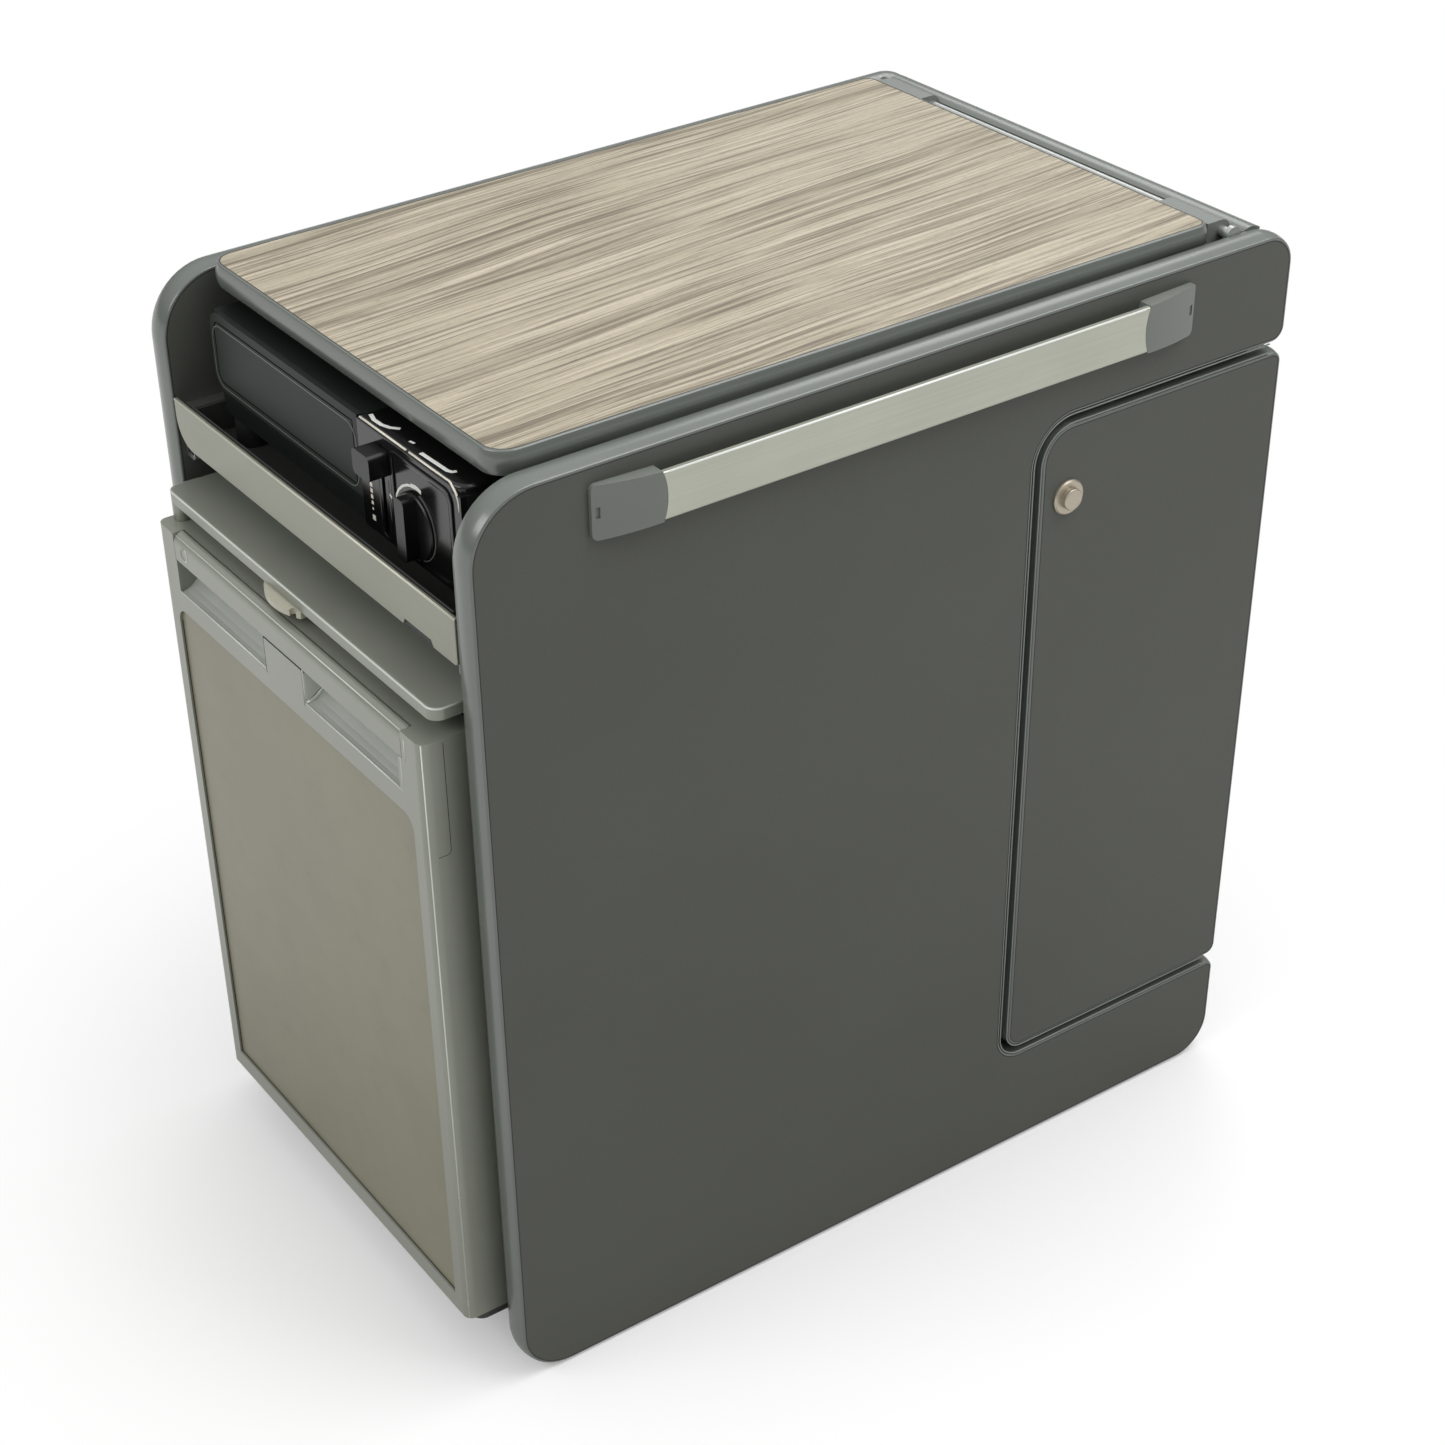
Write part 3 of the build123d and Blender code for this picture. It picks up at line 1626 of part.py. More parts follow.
pieces = {
    "near_side_panel": near_side_panel,
    "near_panel_edging": near_panel_edging,
    "far_side_panel": far_side_panel,
    "far_panel_edging": far_panel_edging,
    "rear_panel": rear_panel,
    "rear_panel_edging": rear_panel_edging,
    "floor_board": floor_board,
    "floor_brackets": floor_brackets,
    "cupboard_partition": cupboard_partition,
    "cupboard_shelf": cupboard_shelf,
    "lid_battens": lid_battens,
    "lid_board": lid_board,
    "lid_laminate": lid_laminate,
    "lid_edging": lid_edging,
    "lid_hinge_rod": lid_hinge_rod,
    "lid_hinge_blocks": lid_hinge_blocks,
    "lid_hinge_screws": lid_hinge_screws,
    "towel_rail_strip": towel_rail_strip,
    "towel_rail_caps": towel_rail_caps,
    "cupboard_door": cupboard_door,
    "cupboard_door_edging": cupboard_door_edging,
    "cupboard_hinge_fixed_leaves": cupboard_hinge_fixed_leaves,
    "cupboard_hinge_moving_leaves": cupboard_hinge_moving_leaves,
    "cupboard_hinge_pins": cupboard_hinge_pins,
    "lock_rosette": lock_rosette,
    "lock_button": lock_button,
    "lock_case": lock_case,
    "lock_bolt": lock_bolt,
    "runner_fixed_members": runner_fixed_members,
    "runner_sliding_members": runner_sliding_members,
    "stove_tray": stove_tray,
    "stove_tray_lip": stove_tray_lip,
    "stove_tray_pull": stove_tray_pull,
    "stove_housing": stove_housing,
    "stove_front_panel": stove_front_panel,
    "stove_control_panel": stove_control_panel,
    "stove_deck": stove_deck,
    "cartridge_cover": cartridge_cover,
    "burner": burner,
    "pan_support": pan_support,
    "gas_cartridge": gas_cartridge,
    "gas_regulator": gas_regulator,
    "stove_knob": stove_knob,
    "cartridge_lever": cartridge_lever,
    "stove_feet": stove_feet,
    "fridge_cabinet": fridge_cabinet,
    "fridge_liner": fridge_liner,
    "fridge_shelves": fridge_shelves,
    "freezer_box": freezer_box,
    "fridge_compressor": fridge_compressor,
    "fridge_top_plate": fridge_top_plate,
    "fridge_base_plate": fridge_base_plate,
    "fridge_door_pins": fridge_door_pins,
    "fridge_vent_latch": fridge_vent_latch,
    "fridge_door_frame": fridge_door_frame,
    "fridge_door_insert": fridge_door_insert,
    "fridge_door_moulding": fridge_door_moulding,
    "fridge_handle": fridge_handle,
    "fridge_door_liner": fridge_door_liner,
    "fridge_door_gasket": fridge_door_gasket,
}

os.makedirs("parts", exist_ok=True)
for label, piece in pieces.items():
    piece.part.label = label
    export_step(piece.part, f"parts/{label}.step")
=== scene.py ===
import bpy
import bmesh
import json
import math
from mathutils import Matrix, Vector


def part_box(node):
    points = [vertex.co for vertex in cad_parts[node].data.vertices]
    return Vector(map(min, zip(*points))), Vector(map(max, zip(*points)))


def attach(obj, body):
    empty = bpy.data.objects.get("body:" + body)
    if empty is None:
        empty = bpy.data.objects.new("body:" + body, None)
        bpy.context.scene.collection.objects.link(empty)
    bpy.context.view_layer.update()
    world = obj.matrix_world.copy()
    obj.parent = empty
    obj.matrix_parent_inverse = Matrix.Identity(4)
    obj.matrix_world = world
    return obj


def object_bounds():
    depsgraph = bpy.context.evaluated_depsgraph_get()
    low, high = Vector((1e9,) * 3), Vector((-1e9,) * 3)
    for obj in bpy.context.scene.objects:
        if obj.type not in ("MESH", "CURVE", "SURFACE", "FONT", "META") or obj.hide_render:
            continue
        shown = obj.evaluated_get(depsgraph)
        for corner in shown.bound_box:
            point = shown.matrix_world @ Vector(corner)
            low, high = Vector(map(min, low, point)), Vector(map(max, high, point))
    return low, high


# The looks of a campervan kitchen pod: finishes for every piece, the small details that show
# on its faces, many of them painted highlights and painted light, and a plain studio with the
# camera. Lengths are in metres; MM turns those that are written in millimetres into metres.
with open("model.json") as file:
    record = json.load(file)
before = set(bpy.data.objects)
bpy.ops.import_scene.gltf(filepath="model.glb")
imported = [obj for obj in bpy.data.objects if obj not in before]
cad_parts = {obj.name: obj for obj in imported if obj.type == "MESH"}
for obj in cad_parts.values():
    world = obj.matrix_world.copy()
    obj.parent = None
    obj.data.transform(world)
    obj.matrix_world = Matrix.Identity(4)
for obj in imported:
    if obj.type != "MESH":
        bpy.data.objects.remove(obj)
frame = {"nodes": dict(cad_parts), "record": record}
cad_box = [list(corner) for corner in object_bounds()]

MM = 0.001


def paint(red, green, blue):
    """Turn a colour as it looks on a screen, 0 to 255, into shader values."""
    shares = [value / 255 for value in (red, green, blue)]
    return tuple(s / 12.92 if s < 0.04 else ((s + 0.055) / 1.055) ** 2.4 for s in shares) + (1.0,)


def shade(colour, share):
    """Return a colour made lighter or darker by a share."""
    return tuple(channel * share for channel in colour[:3]) + (1.0,)


# Finishes

DARKER, LIGHTER = 0.93, 1.06


class Wire:
    """An output in a node tree; sums on it add Math nodes."""

    def __init__(self, nodes, socket):
        self.nodes = nodes
        self.socket = socket

    def sum_of(self, operation, first, second):
        return self.nodes.node("ShaderNodeMath", {"operation": operation}, {0: first, 1: second})

    def __add__(self, other):
        return self.sum_of("ADD", self, other)

    def __radd__(self, other):
        return self.sum_of("ADD", other, self)

    def __sub__(self, other):
        return self.sum_of("SUBTRACT", self, other)

    def __rsub__(self, other):
        return self.sum_of("SUBTRACT", other, self)

    def __mul__(self, other):
        return self.sum_of("MULTIPLY", self, other)

    def __rmul__(self, other):
        return self.sum_of("MULTIPLY", other, self)


class Nodes:
    """A node tree that is filled with one method."""

    def __init__(self, tree):
        self.tree = tree
        self.tree.nodes.clear()

    def feed(self, socket, value):
        if isinstance(value, Wire):
            self.tree.links.new(value.socket, socket)
        else:
            socket.default_value = value

    def add(self, kind, settings=None, values=None):
        """Add a node: its settings first, then the values or links of its sockets."""
        node = self.tree.nodes.new(kind)
        for name, setting in (settings or {}).items():
            setattr(node, name, setting)
        for key, value in (values or {}).items():
            self.feed(node.inputs[key], value)
        return node

    def node(self, kind, settings=None, values=None, out=0):
        """Add a node and return one of its outputs."""
        return Wire(self, self.add(kind, settings, values).outputs[out])


class Finish(Nodes):
    """A material whose detail is worked out from the place on the piece."""

    def __init__(self, name, roughness=0.5, metallic=0.0, **fixed):
        self.material = bpy.data.materials.new(name)
        self.material.use_nodes = True
        super().__init__(self.material.node_tree)
        self.shader = self.add("ShaderNodeBsdfPrincipled")
        self.surface = Wire(self, self.shader.outputs[0])
        self.output = self.add("ShaderNodeOutputMaterial", {}, {0: self.surface})
        self.set("Roughness", roughness)
        self.set("Metallic", metallic)
        for socket, value in fixed.items():
            self.set(socket.replace("_", " "), value)
        self.place = self.node("ShaderNodeTexCoord", out="Object")

    def set(self, socket, value):
        self.feed(self.shader.inputs[socket], value)

    def axis(self, name):
        """Return the place on the piece along one axis."""
        return self.node("ShaderNodeSeparateXYZ", {}, {0: self.place}, name)

    def noise(self, rates, detail=2.0, rough=0.5, place=None):
        """Return a cloud of values that changes at its own rate along each axis."""
        scaled = self.node(
            "ShaderNodeVectorMath", {"operation": "MULTIPLY"}, {0: place or self.place, 1: rates}
        )
        return self.node(
            "ShaderNodeTexNoise",
            {},
            {"Vector": scaled, "Scale": 1.0, "Detail": detail, "Roughness": rough},
        )

    def between(self, value, low, high):
        """Return 0 below the low value, 1 above the high one and a smooth rise between."""
        return self.node(
            "ShaderNodeMapRange",
            {"interpolation_type": "SMOOTHSTEP"},
            {"Value": value, "From Min": low, "From Max": high},
        )

    def blend(self, share, first, second):
        """Mix two colours."""
        return self.node(
            "ShaderNodeMix", {"data_type": "RGBA"}, {0: share, 6: first, 7: second}, 2
        )

    def shades(self, share, colour, darker=DARKER, lighter=LIGHTER):
        """Mix a darker and a lighter shade of one colour."""
        return self.blend(share, shade(colour, darker), shade(colour, lighter))

    def bump(self, height, depth, strength=1.0):
        raised = self.node(
            "ShaderNodeBump", {}, {"Height": height, "Distance": depth, "Strength": strength}
        )
        self.set("Normal", raised)


def moulded(name, colour, roughness, metallic=0.0, speck=0.0, grain_depth=0.00003, **fixed):
    """Make a moulded or painted finish: a faint cloud, a fine grain and uneven gloss."""
    finish = Finish(name, roughness, metallic, **fixed)
    cloud = finish.noise((9, 9, 9), 3.0)
    grain = finish.noise((1400, 1400, 1400), 2.0)
    tone = finish.between(cloud * 0.7 + grain * 0.3, 0.3, 0.7)
    finish.set("Base Color", finish.shades(tone, colour, DARKER - speck, LIGHTER + speck))
    finish.set("Roughness", roughness - 0.04 + cloud * 0.08)
    finish.bump(grain, grain_depth)
    return finish.material


def drawn(name, colour, roughness, metallic, rates, depth=0.00002, **fixed):
    """Make a brushed or anodised metal whose fine lines run along one axis."""
    finish = Finish(name, roughness, metallic, **fixed)
    lines = finish.noise(rates, 3.0, 0.6)
    cloud = finish.noise((14, 14, 14), 2.0)
    tone = finish.between(lines * 0.6 + cloud * 0.4, 0.3, 0.7)
    finish.set("Base Color", finish.shades(tone, colour, lighter=1.05))
    finish.set("Roughness", roughness - 0.05 + lines * 0.1)
    finish.bump(lines, depth)
    return finish.material


def panel_laminate():
    """Dark grey-green laminate with a fine pearled face."""
    finish = Finish("panel_laminate", 0.5, Specular_IOR_Level=0.4)
    cloud = finish.noise((5, 5, 5), 3.0)
    pearl = finish.noise((900, 900, 900), 2.0)
    tone = finish.between(cloud * 0.55 + pearl * 0.45, 0.32, 0.68)
    finish.set("Base Color", finish.shades(tone, paint(84, 86, 80), lighter=1.07))
    finish.set("Roughness", 0.42 + cloud * 0.1)
    finish.bump(pearl, 0.00004)
    return finish.material


def wood_laminate():
    """Taupe wood-grain laminate: dense fine lines, soft bands and dark streaks, front to back."""
    finish = Finish("wood_laminate", 0.42, Specular_IOR_Level=0.12)
    across, along = finish.axis("X"), finish.axis("Y")
    drift = finish.noise((4.0, 1.6, 1.0), 2.0)
    waver = finish.noise((22.0, 6.0, 1.0), 2.0)
    lean = across + along * 0.06 + drift * 0.05 + waver * 0.0035
    place = finish.node("ShaderNodeCombineXYZ", {}, {0: lean, 1: along, 2: 0.0})
    bands = finish.noise((26, 0.9, 1), 2.0, 0.5, place)
    stripes = finish.noise((95, 1.7, 1), 3.0, 0.65, place)
    lines = finish.noise((300, 4.2, 1), 3.0, 0.6, place)
    hairs = finish.noise((640, 9.0, 1), 2.0, 0.5, place)
    pores = finish.noise((1500, 110.0, 1), 2.0, 0.6, place)
    light = paint(177, 168, 149)
    middle = paint(161, 152, 134)
    dark = paint(98, 90, 78)
    tone = bands * 0.35 + stripes * 0.35 + lines * 0.3
    base = finish.blend(finish.between(tone, 0.42, 0.58), middle, light)
    streak = finish.between(stripes * 0.65 + bands * 0.35, 0.46, 0.37)
    base = finish.blend(streak * 0.48, base, dark)
    line = finish.between(lines * 0.85 + stripes * 0.15, 0.47, 0.41)
    base = finish.blend(line * 0.58, base, dark)
    hair = finish.between(hairs, 0.47, 0.4)
    base = finish.blend(hair * 0.42, base, dark)
    pale = finish.between(lines, 0.55, 0.62)
    base = finish.blend(pale * 0.55, base, paint(203, 193, 176))
    fleck = finish.between(pores, 0.42, 0.34)
    base = finish.blend(fleck * 0.35, base, dark)
    finish.set("Base Color", base)
    finish.set("Roughness", 0.36 + lines * 0.14)
    finish.bump(lines * 0.6 + pores * 0.4, 0.00005)
    return finish.material


def insert_bronze():
    """Bronze-grey lacquered sheet with faint clouds of tone and a few darker spots, which are a
    painted mottled reflection.
    """
    finish = Finish("insert_bronze", 0.34, 0.1, Specular_IOR_Level=0.5)
    cloud = finish.noise((7, 7, 6), 3.0, 0.5)
    reflection_mottle = finish.noise((34, 34, 46), 3.0, 0.6)
    base = paint(131, 127, 107)
    tone = finish.between(cloud * 0.7 + reflection_mottle * 0.3, 0.35, 0.65)
    # Painted reflection: darker spots from the mottle stand in for the sheet's mottled reflections.
    spot = finish.between(reflection_mottle, 0.36, 0.27)
    clean = finish.shades(tone, base)
    finish.set("Base Color", finish.blend(spot * 0.12, clean, shade(base, 0.6)))
    finish.set("Roughness", 0.3 + cloud * 0.1)
    finish.bump(finish.noise((700, 700, 700), 2.0), 0.00002)
    return finish.material


def shelf_glass():
    """Clear glass with a faint green body."""
    finish = Finish("shelf_glass", 0.06, Transmission_Weight=0.9, IOR=1.5)
    cloud = finish.noise((30, 30, 30), 2.0)
    finish.set("Base Color", finish.blend(cloud, paint(224, 238, 233), paint(240, 248, 246)))
    return finish.material


SILVER = paint(147, 150, 140)
SLOT_FINISHES = {
    "panel_laminate": panel_laminate(),
    "wood_laminate": wood_laminate(),
    "insert_bronze": insert_bronze(),
    "shelf_glass": shelf_glass(),
    "edging": moulded(
        "edging", paint(100, 105, 100), 0.24, grain_depth=0.00002, Specular_IOR_Level=0.9
    ),
    "carcass_board": moulded("carcass_board", paint(80, 82, 78), 0.6, speck=0.03),
    "rail_aluminium": drawn("rail_aluminium", paint(188, 190, 177), 0.36, 0.55, (1100, 8, 1100)),
    "lip_aluminium": drawn("lip_aluminium", paint(146, 147, 133), 0.34, 0.45, (8, 1100, 1100)),
    "grey_moulded": moulded("grey_moulded", paint(118, 122, 117), 0.36),
    "hinge_steel": drawn("hinge_steel", paint(170, 170, 168), 0.36, 0.9, (700, 700, 20)),
    "bright_rod": drawn("bright_rod", paint(190, 193, 190), 0.3, 0.8, (20, 700, 700)),
    "hinge_block": moulded("hinge_block", paint(118, 122, 118), 0.42),
    "lock_nickel": drawn("lock_nickel", paint(186, 177, 161), 0.38, 0.75, (500, 500, 500)),
    "tray_steel": moulded("tray_steel", paint(62, 63, 61), 0.5, speck=0.03, grain_depth=0.00005),
    "black_plastic": moulded("black_plastic", paint(16, 16, 16), 0.3, Specular_IOR_Level=0.35),
    "stove_enamel": moulded("stove_enamel", paint(27, 32, 29), 0.42, Specular_IOR_Level=0.2),
    "gloss_black": moulded("gloss_black", paint(17, 17, 17), 0.16, grain_depth=0.00001),
    "burner_alloy": moulded("burner_alloy", paint(168, 166, 158), 0.45, 0.8, speck=0.05),
    "grate_steel": moulded("grate_steel", paint(38, 38, 38), 0.4, 0.2),
    "cartridge_steel": moulded("cartridge_steel", paint(186, 188, 190), 0.3, 0.3),
    "rubber": moulded("rubber", paint(20, 20, 20), 0.75, grain_depth=0.00005),
    "fridge_steel": moulded("fridge_steel", paint(66, 68, 66), 0.45, 0.1),
    "fridge_body": moulded("fridge_body", paint(66, 68, 66), 0.45),
    "liner_white": moulded("liner_white", paint(226, 228, 226), 0.3),
    "fridge_silver": moulded("fridge_silver", SILVER, 0.31, 0.25),
    "pin_steel": moulded("pin_steel", SILVER, 0.32, 0.5),
    "gasket_grey": moulded("gasket_grey", paint(96, 97, 96), 0.6),
    "latch_tan": moulded("latch_tan", paint(183, 181, 164), 0.4),
    "freezer_aluminium": drawn(
        "freezer_aluminium", paint(196, 198, 200), 0.4, 0.85, (600, 30, 600)
    ),
}
MARK_FINISHES = {
    "cream_print": moulded("cream_print", paint(226, 221, 206), 0.45),
    "white_print": moulded("white_print", paint(232, 232, 228), 0.42),
    "seam_shadow": moulded("seam_shadow", paint(38, 39, 37), 0.6),
    # painted highlight: lighter than the edging, on the rounded edges of the cupboard door and its
    # notch
    "painted_edge_highlight": moulded("painted_edge_highlight", paint(138, 143, 138), 0.3),
    # painted light: a lighter silver for the recess scoops, which lie in shade
    "painted_recess_light": moulded("painted_recess_light", paint(180, 184, 177), 0.3, 0.1),
    # painted highlight on the top edge of the towel rail
    "painted_rail_highlight": moulded("painted_rail_highlight", paint(238, 240, 236), 0.25),
    # painted highlight on the top edge of the tray's lip
    "painted_lip_highlight": moulded("painted_lip_highlight", paint(205, 204, 188), 0.3, 0.2),
    # painted highlight: grey lines on the stove's black edges
    "grey_edge_highlight": moulded("grey_edge_highlight", paint(92, 95, 91), 0.35),
    # painted highlight: bright beads and sheets on the fridge's edges, recesses and handle
    "painted_highlight": moulded("painted_highlight", paint(214, 217, 210), 0.28, 0.1),
}


def dress_nodes():
    """Give every node of the model the finish of its material slot."""
    for row in frame["record"]["subparts"]:
        for slot in frame["nodes"][row["node"]].material_slots:
            slot.material = SLOT_FINISHES[row["material_slot"]]


dress_nodes()

# Mesh code for the details


def side_face(x):
    """Stand a flat outline in Y and Z on the face at x, raised towards +X."""
    return lambda u, v, w: Vector((x + w, u, v))


def front_face(y):
    """Stand a flat outline in X and Z on the face at y, raised towards the front."""
    return lambda u, v, w: Vector((u, y - w, v))


def top_face(z):
    """Stand a flat outline in X and Y on the face at z, raised upwards."""
    return lambda u, v, w: Vector((u, v, z + w))


def piece(name, mesh_maker, body, slot, mark=None, smooth=False):
    """Build a mesh piece, give it the finish of its mark or slot and let it ride on a body."""
    mesh = bpy.data.meshes.new(name)
    shape = bmesh.new()
    mesh_maker(shape)
    bmesh.ops.recalc_face_normals(shape, faces=shape.faces)
    shape.to_mesh(mesh)
    shape.free()
    mesh.polygons.foreach_set("use_smooth", [smooth] * len(mesh.polygons))
    obj = bpy.data.objects.new(name, mesh)
    bpy.context.scene.collection.objects.link(obj)
    obj.data.materials.append(MARK_FINISHES[mark] if mark else SLOT_FINISHES[slot])
    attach(obj, body)
    return obj


def soften(obj, width):
    """Round the sharp edges of a piece."""
    bevel = obj.modifiers.new("soft_edges", "BEVEL")
    bevel.width = width
    bevel.segments = 2
    bevel.limit_method = "ANGLE"
    obj.data.polygons.foreach_set("use_smooth", [True] * len(obj.data.polygons))


def add_prism(shape, outline, stand, low, high):
    """Add the solid between two heights over a flat outline."""
    foot = [shape.verts.new(stand(u, v, low)) for u, v in outline]
    head = [shape.verts.new(stand(u, v, high)) for u, v in outline]
    shape.faces.new(foot)
    shape.faces.new(head)
    for turn in range(len(outline)):
        after = (turn + 1) % len(outline)
        shape.faces.new((foot[turn], foot[after], head[after], head[turn]))


def band_edges(path, width, closed):
    """Return the two sides of a band of a given width along a flat path."""
    count = len(path)
    sides = ([], [])
    for turn, (u, v) in enumerate(path):
        before = path[turn - 1] if turn or closed else path[turn]
        after = path[(turn + 1) % count] if turn < count - 1 or closed else path[turn]
        run = Vector((after[0] - before[0], after[1] - before[1])).normalized()
        for side, reach in zip(sides, (width / 2, -width / 2)):
            side.append((u - run.y * reach, v + run.x * reach))
    return sides


def add_band(shape, path, width, stand, low, high, closed=False):
    """Add a flat band along a path, between two heights."""
    left, right = band_edges(path, width, closed)
    rings = []
    for one, other in zip(left, right):
        corners = (one + (low,), one + (high,), other + (high,), other + (low,))
        rings.append([shape.verts.new(stand(*corner)) for corner in corners])
    spans = len(rings) if closed else len(rings) - 1
    for turn in range(spans):
        here, there = rings[turn], rings[(turn + 1) % len(rings)]
        for corner in range(4):
            after = (corner + 1) % 4
            shape.faces.new((here[corner], here[after], there[after], there[corner]))
    if not closed:
        shape.faces.new(rings[0])
        shape.faces.new(rings[-1])


def add_bead(shape, path, radius, sides=10):
    """Add a round bead with closed ends along a path in space."""
    rings = []
    for spot, point in enumerate(path):
        before = path[max(spot - 1, 0)]
        after = path[min(spot + 1, len(path) - 1)]
        run = (after - before).normalized()
        side = run.orthogonal().normalized()
        if rings:
            side = (last_side - run * last_side.dot(run)).normalized()
        last_side = side
        lift = run.cross(side)
        turns = [math.tau * step / sides for step in range(sides)]
        places = [
            point + side * radius * math.cos(angle) + lift * radius * math.sin(angle)
            for angle in turns
        ]
        rings.append([shape.verts.new(place) for place in places])
    for here, there in zip(rings, rings[1:]):
        for step in range(sides):
            after = (step + 1) % sides
            shape.faces.new((here[step], here[after], there[after], there[step]))
    shape.faces.new(rings[0])
    shape.faces.new(rings[-1])


def arc(centre, radius, start, end, steps=12):
    """Return the points of an arc; its angles are in degrees."""
    turns = [math.radians(start + (end - start) * step / steps) for step in range(steps + 1)]
    return [(centre[0] + radius * math.cos(t), centre[1] + radius * math.sin(t)) for t in turns]


def rounded(corners, radii):
    """Return the outline through the corners with each one rounded by its own radius."""
    points = []
    count = len(corners)
    for turn, radius in enumerate(radii):
        corner = Vector(corners[turn])
        to_last = (Vector(corners[turn - 1]) - corner).normalized()
        to_next = (Vector(corners[(turn + 1) % count]) - corner).normalized()
        if not radius:
            points.append(tuple(corner))
            continue
        half = to_last.angle(to_next) / 2
        centre = corner + (to_last + to_next).normalized() * radius / math.sin(half)
        first = corner + to_last * radius / math.tan(half) - centre
        last = corner + to_next * radius / math.tan(half) - centre
        begin = math.degrees(math.atan2(first.y, first.x))
        sweep = math.degrees(math.atan2(last.y, last.x)) - begin
        sweep = (sweep + 180) % 360 - 180
        points.extend(arc(centre, radius, begin, begin + sweep))
    return points


def rectangle(low, high):
    """Return the corners of a rectangle, anticlockwise."""
    return [low, (high[0], low[1]), high, (low[0], high[1])]


def inside(outline, distance):
    """Return an anticlockwise outline drawn in by a distance."""
    return band_edges(outline, 2 * distance, True)[0]


def side_corners(low, high):
    """Return the Y and Z of two corners of a box."""
    return (low[1], low[2]), (high[1], high[2])


# Seams between the boards and their edging

EDGING_DEPTH = 4 * MM
SEAM_WIDTH, SEAM_RISE, SEAM_SINK = (size * MM for size in (0.7, 0.06, 0.3))
FOOT_FRONT, FOOT_REAR, TOP_REAR, TOP_FRONT = (size * MM for size in (42, 33, 25, 50))
NOTCH_LOW, NOTCH_HIGH, ARM_LOW, ARM_HIGH = (size * MM for size in (21, 33, 9, 12))
DOOR_FOOT, DOOR_REAR, DOOR_TOP = (size * MM for size in (15.5, 10, 27.5))
LID_FRONT, LID_REAR = (size * MM for size in (20, 12))
DOOR_GAP = 5.5 * MM


def seam(name, outline, faces, body):
    """Run a thin dark seam round a board on each of its faces."""
    path = inside(outline, EDGING_DEPTH)

    def build(shape):
        for stand, outward in faces:
            low, high = sorted((-SEAM_SINK * outward, SEAM_RISE * outward))
            add_band(shape, path, SEAM_WIDTH, stand, low, high, closed=True)

    piece(name, build, body, "edging", "seam_shadow")


def seams():
    """Seams of the side panels, the cupboard door and the lid."""
    near_low, near_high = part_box("near_panel_edging")
    far_low, far_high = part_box("far_panel_edging")
    door_low, door_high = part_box("cupboard_door_edging")
    lid_low, lid_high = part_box("lid_edging")
    far = rounded(
        rectangle(*side_corners(far_low, far_high)), [FOOT_FRONT, FOOT_REAR, TOP_REAR, TOP_FRONT]
    )
    notch_y = door_low[1] - DOOR_GAP
    notch_low, notch_high = door_low[2] - DOOR_GAP, door_high[2] + DOOR_GAP
    near = rounded(
        [
            (near_low[1], near_low[2]),
            (near_high[1], near_low[2]),
            (near_high[1], notch_low),
            (notch_y, notch_low),
            (notch_y, notch_high),
            (near_high[1], notch_high),
            (near_high[1], near_high[2]),
            (near_low[1], near_high[2]),
        ],
        [FOOT_FRONT, FOOT_REAR, ARM_LOW, NOTCH_LOW, NOTCH_HIGH, ARM_HIGH, TOP_REAR, TOP_FRONT],
    )
    door = rounded(
        rectangle(*side_corners(door_low, door_high)), [DOOR_FOOT, DOOR_REAR, DOOR_REAR, DOOR_TOP]
    )
    lid = rounded(
        rectangle((lid_low[0], lid_low[1]), (lid_high[0], lid_high[1])),
        [LID_FRONT, LID_FRONT, LID_REAR, LID_REAR],
    )
    for name, outline, low, high, body in (
        ("near_panel_seam", near, near_low, near_high, "carcass"),
        ("far_panel_seam", far, far_low, far_high, "carcass"),
        ("cupboard_door_seam", door, door_low, door_high, "cupboard_door"),
    ):
        seam(name, outline, ((side_face(high[0]), 1), (side_face(low[0]), -1)), body)
    seam("lid_seam", lid, ((top_face(lid_high[2]), 1), (top_face(lid_low[2]), -1)), "lid")


# Painted highlights: light lines along the edges, put where the lamps would catch them

EDGE_LINE = 0.6 * MM
EDGE_LINE_SHORT = 14 * MM
LIP_LINE, LIP_LINE_BACK, LIP_LINE_DROP = (size * MM for size in (0.95, 0.8, 0.9))
RAIL_LINE, RAIL_LINE_SHORT = (size * MM for size in (0.95, 4))


